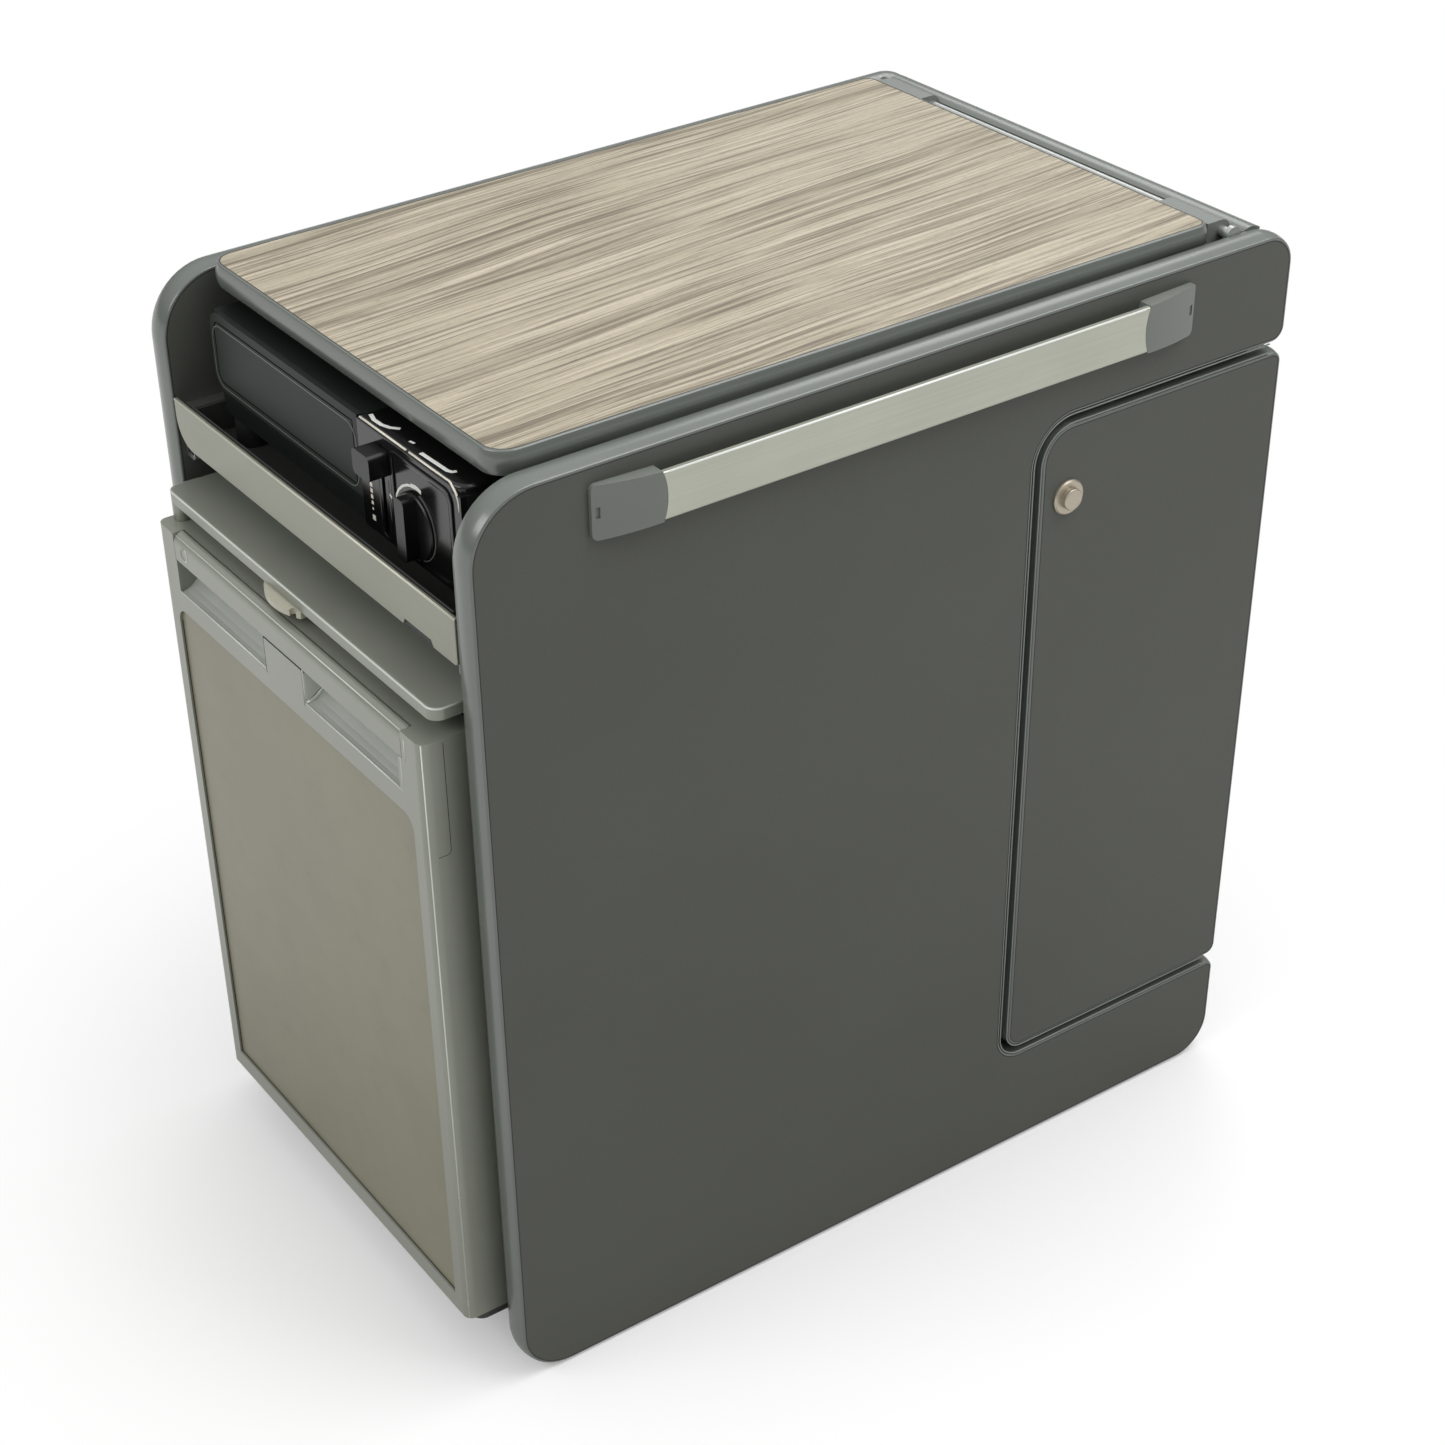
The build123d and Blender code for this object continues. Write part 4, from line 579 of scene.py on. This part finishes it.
def edge_lines():
    """Painted highlight lines on the cupboard door, its notch, the tray's lip and the towel rail.
    """
    door_low, door_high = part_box("cupboard_door_edging")
    lip_low, lip_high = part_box("stove_tray_lip")
    rail_low, rail_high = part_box("towel_rail_strip")
    across = door_high[0] - EDGE_LINE
    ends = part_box("near_panel_edging")[1][1] - EDGE_LINE_SHORT

    # Painted highlight: a light bead along a rounded edge.
    def painted_edge_highlight(name, outline, radii, body):
        def build(shape):
            run = [Vector((across, y, z)) for y, z in rounded(outline, radii)]
            add_bead(shape, run, EDGE_LINE)

        piece(name, build, body, "edging", "painted_edge_highlight", smooth=True)

    front, foot = door_low[1] + EDGE_LINE, door_low[2] + EDGE_LINE
    top = door_high[2] - EDGE_LINE
    door = [(ends, top), (front, top), (front, foot), (ends, foot)]
    painted_edge_highlight("door_highlight_line", door, [0, DOOR_TOP, DOOR_FOOT, 0], "cupboard_door")
    away = DOOR_GAP + 2 * EDGE_LINE
    front, foot, top = front - away, foot - away, top + away
    notch = [(ends, top), (front, top), (front, foot), (ends, foot)]
    painted_edge_highlight("notch_highlight_line", notch, [0, NOTCH_HIGH, NOTCH_LOW, 0], "carcass")

    # Painted highlight: a light bead along the top edge of the tray's lip.
    def lip_highlight_bead(shape):
        y, z = lip_low[1] + LIP_LINE_BACK, lip_high[2] - LIP_LINE_DROP
        add_bead(shape, [Vector((x, y, z)) for x in (lip_low[0], lip_high[0])], LIP_LINE)

    piece("lip_highlight_line", lip_highlight_bead, "tray", "lip_aluminium", "painted_lip_highlight", smooth=True)

    # Painted highlight: a near-white bead along the towel rail's top edge.
    def rail_highlight_bead(shape):
        x, z = rail_high[0] - RAIL_LINE, rail_high[2] - RAIL_LINE
        tips = (rail_low[1] + RAIL_LINE_SHORT, rail_high[1] - RAIL_LINE_SHORT)
        add_bead(shape, [Vector((x, y, z)) for y in tips], RAIL_LINE)

    piece("rail_highlight_line", rail_highlight_bead, "carcass", "rail_aluminium", "painted_rail_highlight", smooth=True)


# Marks and trim of the stove, some of the trim painted highlight; places, and sizes without MM, are
# written in millimetres

PRINT_RISE, PRINT_SINK = (size * MM for size in (0.15, 0.4))
MARK_WIDTH, WIDE_MARK_WIDTH = (size * MM for size in (1.7, 2.9))
COVER_ROUND = 3 * MM
STEEPEST_SHARE = 0.99
STRIPE_BEAD, STRIPE_SINK, STRIPE_TAIL = (size * MM for size in (0.75, 0.35, 4))
STRIPE = ((45.5, 707.2), (105.1, 707.2)), ((108.5, 707.2), (157.5, 707.2))
STRIPE_BEND = (157.5, 695.4)
STRIPE_RADIUS = 11.8
COVER_ARC = ((48.3, -304.5), (56.5, -306.9), (65.9, -306.6), (72.6, -304.3), (78.1, -299.9))
COVER_BAR = ((115.2, -306.6), (146.0, -305.6), (149.2, -304.2), (150.2, -301.4))
COVER_TICK = ((96.5, -304.0), (101.5, -303.0))
KNOB_ARC = (
    (80.0, 666.6), (84.5, 664.8), (88.2, 665.4), (89.6, 670.2), (93.0, 675.3), (98.6, 680.2),
    (105.0, 683.6), (110.0, 684.8),
)
KNOB_MARK = ((110.0, 685.2), (116.0, 686.2), (122.4, 685.2))
KNOB_LOW_MARK = ((108.1, 632.6), (117.0, 631.6), (125.6, 632.2))
RING_GAP, RING_WIDTH, RING_RISE = (size * MM for size in (1.2, 0.8, 0.8))
RING_TURN = (75, -75, 24)
SCALE_X, SCALE_TOP, SCALE_PITCH = 55.5, 668.0, 4.4
SCALE_SIZES = (3.2, 3.2, 3.0, 2.8, 2.4, 1.6)
SCALE_FOOT = (56.0, 639.6, 3.8)
RIM = ((86.8, 632.5), (160.0, 700.0))
RIM_RADII = (9, 11, 8, 5)
RIM_WIDTH, RIM_RISE, RIM_SOFTNESS = (size * MM for size in (3.6, 1.2, 0.5))
SLOT_RIM = ((66.5, 632.0), (79.5, 676.0))
FRONT_LINE_INSET, FRONT_LINE_DROP, FRONT_LINE_RADIUS = (size * MM for size in (3.2, 6, 12))
FRONT_LINE_WIDTH, FRONT_LINE_RISE = (size * MM for size in (0.8, 0.25))


def lengths(points):
    """Turn points written in millimetres into metres."""
    return [tuple(value * MM for value in point) for point in points]


def stove_prints():
    """Pinstripe on the cover's front edge, and the marks on the cover and round the knob."""
    front = front_face(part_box("stove_control_panel")[0][1])
    cover_low, cover_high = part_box("cartridge_cover")
    top = top_face(cover_high[2])

    def on_edge(x, z):
        """Return the place on the cover's rounded front edge at a height."""
        over = max(z - cover_high[2] + COVER_ROUND, 0.0) / COVER_ROUND
        over = min(over, STEEPEST_SHARE)
        back = COVER_ROUND * (1 - math.sqrt(1 - over * over))
        return Vector((x, cover_low[1] + back + STRIPE_SINK, z))

    def pinstripe(shape):
        first, second = (lengths(run) for run in STRIPE)
        bend = arc(lengths([STRIPE_BEND])[0], STRIPE_RADIUS * MM, 90, 0)
        end = (bend[-1][0], bend[-1][1] - STRIPE_TAIL)
        add_bead(shape, [on_edge(*place) for place in first], STRIPE_BEAD)
        add_bead(shape, [on_edge(*place) for place in second + bend + [end]], STRIPE_BEAD)

    piece("stove_pinstripe", pinstripe, "tray", "gloss_black", "cream_print", smooth=True)

    def cover_marks(shape):
        for path, width in (
            (COVER_ARC, WIDE_MARK_WIDTH), (COVER_BAR, WIDE_MARK_WIDTH), (COVER_TICK, MARK_WIDTH)
        ):
            add_band(shape, lengths(path), width, top, -PRINT_SINK, PRINT_RISE)

    piece("cover_marks", cover_marks, "tray", "gloss_black", "white_print")

    def knob_marks(shape):
        for path, width in (
            (KNOB_ARC, MARK_WIDTH), (KNOB_MARK, WIDE_MARK_WIDTH), (KNOB_LOW_MARK, MARK_WIDTH)
        ):
            add_band(shape, lengths(path), width, front, -PRINT_SINK, PRINT_RISE)

    piece("knob_marks", knob_marks, "tray", "gloss_black", "white_print")


def stove_trim():
    """Painted highlight ring on the right of the knob, scale of the lever, rims of the controls and
    painted highlight line of the front panel.
    """
    front = front_face(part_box("stove_control_panel")[0][1])
    knob_low, knob_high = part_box("stove_knob")
    panel_low, panel_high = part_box("stove_front_panel")
    knob = ((knob_low[0] + knob_high[0]) / 2, (knob_low[2] + knob_high[2]) / 2)
    ring = (knob_high[2] - knob_low[2]) / 2 + RING_GAP

    # Painted highlight: a grey arc round the right side of the knob.
    def knob_ring_highlight(shape):
        path = arc(knob, ring, *RING_TURN)
        add_band(shape, path, RING_WIDTH, front, -PRINT_SINK, RING_RISE)

    piece("knob_ring_highlight", knob_ring_highlight, "tray", "gloss_black", "grey_edge_highlight")

    def lever_scale(shape):
        spots = [
            (SCALE_X, SCALE_TOP - turn * SCALE_PITCH, size) for turn, size in enumerate(SCALE_SIZES)
        ]
        for x, z, size in spots + [SCALE_FOOT]:
            reach = size / 2
            outline = lengths(rectangle((x - reach, z - reach), (x + reach, z + reach)))
            add_prism(shape, outline, front, -PRINT_SINK, PRINT_RISE)

    piece("lever_scale", lever_scale, "tray", "gloss_black", "cream_print")

    def control_rim(shape):
        outline = rounded(lengths(rectangle(*RIM)), [radius * MM for radius in RIM_RADII])
        add_band(shape, outline, RIM_WIDTH, front, -PRINT_SINK, RIM_RISE, closed=True)
        (left, low), (right, high) = lengths(SLOT_RIM)
        bend = arc(((left + right) / 2, low + (right - left) / 2), (right - left) / 2, 180, 360)
        groove = [(left, high)] + bend + [(right, high)]
        add_band(shape, groove, RIM_WIDTH / 2, front, -PRINT_SINK, PRINT_RISE)

    soften(piece("control_rim", control_rim, "tray", "gloss_black"), RIM_SOFTNESS)

    # Painted highlight: a grey line round the front panel, inside its edges.
    def front_highlight_line(shape):
        left, right = panel_low[0] + FRONT_LINE_INSET, panel_high[0] - FRONT_LINE_INSET
        low = panel_low[2] + FRONT_LINE_INSET
        high = panel_high[2] - FRONT_LINE_INSET - FRONT_LINE_DROP
        outline = rounded(rectangle((left, low), (right, high)), [FRONT_LINE_RADIUS] * 4)
        stand = front_face(panel_low[1])
        add_band(shape, outline, FRONT_LINE_WIDTH, stand, -PRINT_SINK, FRONT_LINE_RISE, closed=True)

    piece("front_panel_highlight_line", front_highlight_line, "tray", "stove_enamel", "grey_edge_highlight")


# Trim of the fridge, much of it painted highlights and painted light; places without MM are written
# in millimetres

RECESS_ENDS = (-165.0, 28.5)
RECESS_FOOT = 502.2 * MM
PLATE_HALF = 28 * MM
RECESS_SPANS = ((-165.5 * MM, -PLATE_HALF), (PLATE_HALF, 160.5 * MM))
RECESS_CURVE = ((1.0, 0.6), (4.5, 1.2), (9.0, 3.2), (13.5, 7.0), (17.0, 12.0))
RECESS_END_BEAD = 1.7 * MM
LINING_CURVE = ((0.6, 0.15), (4.5, 0.75), (9.0, 2.75), (13.5, 6.55), (17.0, 11.5))
LINING, LINING_GAP, CEILING_GAP = (size * MM for size in (0.3, 0.5, 0.6))
RECESS_WALL = ((0.8, 1.0), (17.0, 12.0), (17.0, 24.0), (0.8, 24.0))
WALL_RISE = 0.4 * MM
RECESS_BEAD, RECESS_BEAD_BACK, RECESS_BEAD_UP = (size * MM for size in (0.7, 0.56, 0.28))
UPRIGHT_BEAD, UPRIGHT_BEAD_BACK = (size * MM for size in (0.49, 0.35))
PLATE_INSET, PLATE_DROP, PLATE_RADIUS, PLATE_RISE = (size * MM for size in (0.6, 3, 2, 0.3))
PLATE_SEAM_WIDTH, PLATE_SEAM_RISE, PLATE_SEAM_DROP = (size * MM for size in (0.7, 0.05, 2))


def recess_trim():
    """Painted highlight beads, painted light sheets and painted light end walls of the recesses in
    the fridge door, and the plate between.
    """
    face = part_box("fridge_door_moulding")[0][1]
    front = front_face(face)
    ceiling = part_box("fridge_handle")[0][2] - CEILING_GAP

    def behind(places):
        """Turn places behind the face and over the recess's foot into Y and Z in metres."""
        return [(face + back * MM, RECESS_FOOT + rise * MM) for back, rise in places]

    # Painted highlight: a bright bead along the curved foot of each recess's left end.
    def recess_end_highlights(shape):
        for left in RECESS_ENDS:
            run = [Vector((left * MM, y, z)) for y, z in behind(RECESS_CURVE)]
            add_bead(shape, run, RECESS_END_BEAD)

    piece("recess_end_highlights", recess_end_highlights, "fridge_door", "fridge_silver", "painted_highlight", smooth=True)

    # Painted light: thin light sheets over the recess scoops, which lie in shade.
    def recess_painted_light_sheets(shape):
        upper = behind(LINING_CURVE)
        lower = [(y, z - LINING) for y, z in reversed(upper)]
        for left, right in RECESS_SPANS:
            reach = right - left - LINING_GAP
            add_prism(shape, upper + lower, side_face(left), LINING_GAP, reach)

    piece("recess_painted_light_sheets", recess_painted_light_sheets, "fridge_door", "fridge_silver", "painted_recess_light")

    # Painted light: bright sheets on the recesses' end walls, which lie in shade.
    def recess_painted_light_walls(shape):
        for left in RECESS_ENDS:
            add_prism(shape, behind(RECESS_WALL), side_face(left * MM), -PRINT_SINK, WALL_RISE)

    piece("recess_painted_light_walls", recess_painted_light_walls, "fridge_door", "fridge_silver", "painted_highlight")

    # Painted highlight: bright beads along the recess feet and up the sides of the plate.
    def recess_highlight_beads(shape):
        y, z = face + RECESS_BEAD_BACK, RECESS_FOOT + RECESS_BEAD_UP
        for span in RECESS_SPANS:
            add_bead(shape, [Vector((x, y, z)) for x in span], RECESS_BEAD)
        y = face + UPRIGHT_BEAD_BACK
        for x in (-PLATE_HALF, PLATE_HALF, RECESS_SPANS[1][1]):
            add_bead(shape, [Vector((x, y, z)) for z in (RECESS_FOOT, ceiling)], UPRIGHT_BEAD)

    piece("recess_highlight_beads", recess_highlight_beads, "fridge_door", "fridge_silver", "painted_highlight", smooth=True)

    half = PLATE_HALF - PLATE_INSET

    def centre_plate(shape):
        corners = rectangle((-half, RECESS_FOOT - PLATE_DROP), (half, ceiling))
        outline = rounded(corners, [PLATE_RADIUS] * 4)
        add_prism(shape, outline, front, -PRINT_SINK, PLATE_RISE)

    piece("centre_plate", centre_plate, "fridge_door", "fridge_silver")

    def plate_seam(shape):
        path = [(-half, RECESS_FOOT - PLATE_SEAM_DROP), (-half, ceiling), (half, ceiling)]
        rise = PLATE_RISE + PLATE_SEAM_RISE
        add_band(shape, path, PLATE_SEAM_WIDTH, front, -PRINT_SINK, rise)

    piece("plate_seam", plate_seam, "fridge_door", "fridge_silver", "seam_shadow")


SPOT = (-147.9, 539.0)
SPOT_RING, SPOT_RING_WIDTH, SPOT_RISE = (size * MM for size in (4.6, 0.9, 0.3))
SPOT_EDGE, SPOT_EDGE_WIDTH = (size * MM for size in (5.4, 0.7))
SPOT_TURN, SPOT_EDGE_TURN = (0, 345, 24), (-80, 60, 12)
INSERT_SEAM, INSERT_SEAM_SHORT, INSERT_SEAM_RISE = (size * MM for size in (0.8, 12, 0.4))
CORNER_BEAD, CORNER_INSET, CORNER_SEAM_AWAY = (size * MM for size in (0.65, 2.35, 1.2))
HANDLE_SEAM = ((0.3, -0.5), (0.3, 14.5), (1.5, 18.0), (4.0, 19.7))
HANDLE_BEAD, HANDLE_INSET = (size * MM for size in (0.5, 2.4))
CAP_LOW, CAP_HIGH, CAP_BACK, CAP_FRONT = (size * MM for size in (462, 547, 17, 7.5))
CAP_ROUND, CAP_SEAM_WIDTH, CAP_SEAM_RISE = (size * MM for size in (3.5, 0.5, 0.04))


def fridge_door_trim():
    """Spot on the handle with its painted highlight, a painted highlight line on the handle, and
    seams and painted highlight lines on the corners of the fridge door.
    """
    frame_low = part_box("fridge_door_frame")[0]
    door_low, door_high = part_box("fridge_door_moulding")
    insert_low, insert_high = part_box("fridge_door_insert")
    handle_low, handle_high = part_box("fridge_handle")
    face = door_low[1]
    front = front_face(face)
    spot = lengths([SPOT])[0]

    def handle_spot(shape):
        path = arc(spot, SPOT_RING, *SPOT_TURN)
        add_band(shape, path, SPOT_RING_WIDTH, front, -PRINT_SINK, SPOT_RISE, closed=True)

    piece("handle_spot", handle_spot, "fridge_handle", "fridge_silver")

    # Painted highlight: a bright crescent round part of the spot.
    def spot_highlight(shape):
        path = arc(spot, SPOT_EDGE, *SPOT_EDGE_TURN)
        add_band(shape, path, SPOT_EDGE_WIDTH, front, -PRINT_SINK, SPOT_RISE)

    piece("spot_highlight", spot_highlight, "fridge_handle", "fridge_silver", "painted_highlight")

    def insert_seams(shape):
        x, z = insert_low[0] + INSERT_SEAM / 2, insert_low[2] + INSERT_SEAM / 2
        path = [(x, insert_high[2] - INSERT_SEAM_SHORT), (x, z), (insert_high[0], z)]
        stand = front_face(insert_low[1])
        add_band(shape, path, INSERT_SEAM, stand, -PRINT_SINK, INSERT_SEAM_RISE)

    piece("insert_seams", insert_seams, "fridge_door", "gasket_grey", "seam_shadow")

    # Painted highlight: bright beads down the door's corners and at the handle's right end.
    def corner_highlight_lines(shape):
        heights = (frame_low[2] + CORNER_BEAD, door_high[2] - CORNER_BEAD)
        for x in (door_low[0] + CORNER_INSET, door_high[0] - CORNER_INSET):
            add_bead(shape, [Vector((x, face + CORNER_INSET, z)) for z in heights], CORNER_BEAD)
        x = handle_high[0] + CORNER_SEAM_AWAY
        run = [Vector((x, face + back * MM, handle_low[2] + up * MM)) for back, up in HANDLE_SEAM]
        add_bead(shape, run, CORNER_BEAD)

    piece("corner_highlight_lines", corner_highlight_lines, "fridge_door", "fridge_silver", "painted_highlight", smooth=True)

    # Painted highlight: a bright bead along the handle's rounded top edge.
    def handle_highlight_line(shape):
        y, z = handle_low[1] + HANDLE_INSET, handle_high[2] - HANDLE_INSET
        ends = (handle_low[0] + CORNER_BEAD, handle_high[0] - CORNER_BEAD)
        add_bead(shape, [Vector((x, y, z)) for x in ends], HANDLE_BEAD)

    piece("handle_highlight_line", handle_highlight_line, "fridge_handle", "fridge_silver", "painted_highlight", smooth=True)

    def hinge_cap_seam(shape):
        back, bend = face + CAP_BACK, CAP_LOW + CAP_ROUND
        path = [(back, CAP_HIGH), (back, bend)]
        path += arc((back - CAP_ROUND, bend), CAP_ROUND, 0, -90, 5)
        path.append((face + CAP_FRONT, CAP_LOW))
        stand = side_face(door_high[0])
        add_band(shape, path, CAP_SEAM_WIDTH, stand, -SEAM_SINK, CAP_SEAM_RISE)

    piece("hinge_cap_seam", hinge_cap_seam, "fridge_door", "fridge_silver", "seam_shadow")


TOP_PLATE_BEAD, TOP_PLATE_INSET, TOP_PLATE_DROP = (size * MM for size in (0.75, 0.5, 0.9))
TOP_PLATE_RADIUS, TOP_PLATE_SIDE = (size * MM for size in (9, 25.5))


def top_plate_trim():
    """Painted highlight bead round the front corners of the plate over the fridge."""
    plate_low, plate_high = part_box("fridge_top_plate")
    radius = TOP_PLATE_RADIUS - TOP_PLATE_INSET
    left, right = plate_low[0] + TOP_PLATE_INSET, plate_high[0] - TOP_PLATE_INSET
    near, z = plate_low[1] + TOP_PLATE_INSET, plate_high[2] - TOP_PLATE_DROP

    def plate_edge_highlight(shape):
        outline = [(left, near + TOP_PLATE_SIDE)]
        outline += arc((left + radius, near + radius), radius, 180, 270, 8)
        outline += arc((right - radius, near + radius), radius, 270, 360, 8)
        outline.append((right, near + TOP_PLATE_SIDE))
        add_bead(shape, [Vector((x, y, z)) for x, y in outline], TOP_PLATE_BEAD)

    piece("plate_edge_highlight", plate_edge_highlight, "carcass", "fridge_silver", "painted_highlight", smooth=True)


# Studio: a pale floor that whitens away from the pod, soft lamps and the camera

PLAIN_WHITE = (1, 1, 1, 1)
FLOOR_REACH = 30.0
FLOOR_DROP = 0.2 * MM
WHITE_FROM, WHITE_TO = 0.4, 0.8
WHITE_SHARE = 0.25
FLOOR_BOUNCE = paint(192, 192, 188)
FLOOR_WHITE = paint(253, 253, 253)


def studio_floor():
    """Lay the floor: white paint near the pod that keeps its shadow, plain white further off."""
    mesh = bpy.data.meshes.new("studio_floor")
    shape = bmesh.new()
    corners = rectangle((-FLOOR_REACH, -FLOOR_REACH), (FLOOR_REACH, FLOOR_REACH))
    height = cad_box[0][2] - FLOOR_DROP
    shape.faces.new([shape.verts.new((x, y, height)) for x, y in corners])
    shape.to_mesh(mesh)
    shape.free()
    obj = bpy.data.objects.new("studio_floor", mesh)
    bpy.context.scene.collection.objects.link(obj)
    finish = Finish("studio_floor", 0.7, Specular_IOR_Level=0.2)
    camera_ray = finish.node("ShaderNodeLightPath", out="Is Camera Ray")
    finish.set("Base Color", finish.blend(camera_ray, FLOOR_BOUNCE, FLOOR_WHITE))
    distance = finish.node(
        "ShaderNodeVectorMath", {"operation": "LENGTH"}, {0: finish.place}, "Value"
    )
    away = finish.between(distance, WHITE_FROM, WHITE_TO)
    rays = [
        finish.node("ShaderNodeLightPath", out=ray)
        for ray in ("Is Camera Ray", "Is Glossy Ray", "Is Transmission Ray")
    ]
    seen = (away * (1 - WHITE_SHARE) + WHITE_SHARE) * (rays[0] + rays[1] + rays[2])
    glow = finish.node("ShaderNodeEmission", {}, {"Color": PLAIN_WHITE, "Strength": 1.0})
    mixed = finish.node("ShaderNodeMixShader", {}, {0: seen, 1: finish.surface, 2: glow})
    finish.feed(finish.output.inputs[0], mixed)
    mesh.materials.append(finish.material)


SKY_LOW, SKY_HIGH = 0.2, 0.95


def studio_world():
    """Light the studio from above; the camera sees plain white."""
    world = bpy.data.worlds.new("studio")
    bpy.context.scene.world = world
    world.use_nodes = True
    sky = Nodes(world.node_tree)
    direction = sky.node("ShaderNodeTexCoord", out="Generated")
    upward = sky.node("ShaderNodeSeparateXYZ", {}, {0: direction}, "Z")
    level = sky.node(
        "ShaderNodeMapRange",
        {"interpolation_type": "SMOOTHSTEP"},
        {"Value": upward, "To Min": SKY_LOW, "To Max": SKY_HIGH},
    )
    light = sky.node("ShaderNodeBackground", {}, {"Color": PLAIN_WHITE, "Strength": level})
    white = sky.node("ShaderNodeBackground", {}, {"Color": PLAIN_WHITE, "Strength": 1.0})
    camera_ray = sky.node("ShaderNodeLightPath", out="Is Camera Ray")
    mixed = sky.node("ShaderNodeMixShader", {}, {0: camera_ray, 1: light, 2: white})
    sky.add("ShaderNodeOutputWorld", {}, {0: mixed})


LAMPS = {
    "key_softbox": ((0.7, 0.9, 2.6), (2.0, 2.0), 34.0),
    "rim_softbox": ((-1.6, 1.7, 2.1), (0.9, 0.9), 5.0),
    "front_softbox": ((-0.1, -2.1, 2.0), (1.6, 0.9), 17.0),
}
LAMP_AIM = Vector((0, 0, 0.35))


def lamps():
    """Hang the softboxes round the pod."""
    for name, (place, size, power) in LAMPS.items():
        lamp = bpy.data.lights.new(name, "AREA")
        lamp.shape = "RECTANGLE"
        lamp.size, lamp.size_y = size
        lamp.energy = power
        obj = bpy.data.objects.new(name, lamp)
        bpy.context.scene.collection.objects.link(obj)
        obj.location = place
        obj.rotation_euler = (LAMP_AIM - Vector(place)).to_track_quat("-Z", "Y").to_euler()


CAMERA_PLACE = Vector((1.47879, -1.03683, 1.47953))
CAMERA_TURN = Vector((1.9781489, 1.0458964, -0.5973835))
FRAME_PIXELS = 1445
FOCAL_PIXELS = 2752.9
SENSOR = 36.0
SHIFT_X = 0.09247
SHIFT_Y = 0.07463
NEAR_CLIP = 0.05


def camera():
    """Place the camera where the photograph was taken from.

    CAMERA_TURN turns the world into a view whose Y points down and whose Z points away.
    Both are flipped for this camera, which has Y upwards and looks along its -Z.
    """
    lens = bpy.data.cameras.new("camera")
    lens.sensor_width = SENSOR
    lens.lens = FOCAL_PIXELS / FRAME_PIXELS * SENSOR
    lens.shift_x = SHIFT_X
    lens.shift_y = SHIFT_Y
    lens.clip_start = NEAR_CLIP
    obj = bpy.data.objects.new("camera", lens)
    bpy.context.scene.collection.objects.link(obj)
    turn = Matrix.Rotation(CAMERA_TURN.length, 3, CAMERA_TURN.normalized())
    flip = Matrix.Diagonal((1, -1, -1))
    obj.matrix_world = Matrix.Translation(CAMERA_PLACE) @ (flip @ turn).transposed().to_4x4()
    bpy.context.scene.camera = obj


seams()
edge_lines()
stove_prints()
stove_trim()
recess_trim()
fridge_door_trim()
top_plate_trim()
studio_floor()
studio_world()
lamps()
camera()
bpy.context.scene.view_settings.view_transform = "Standard"
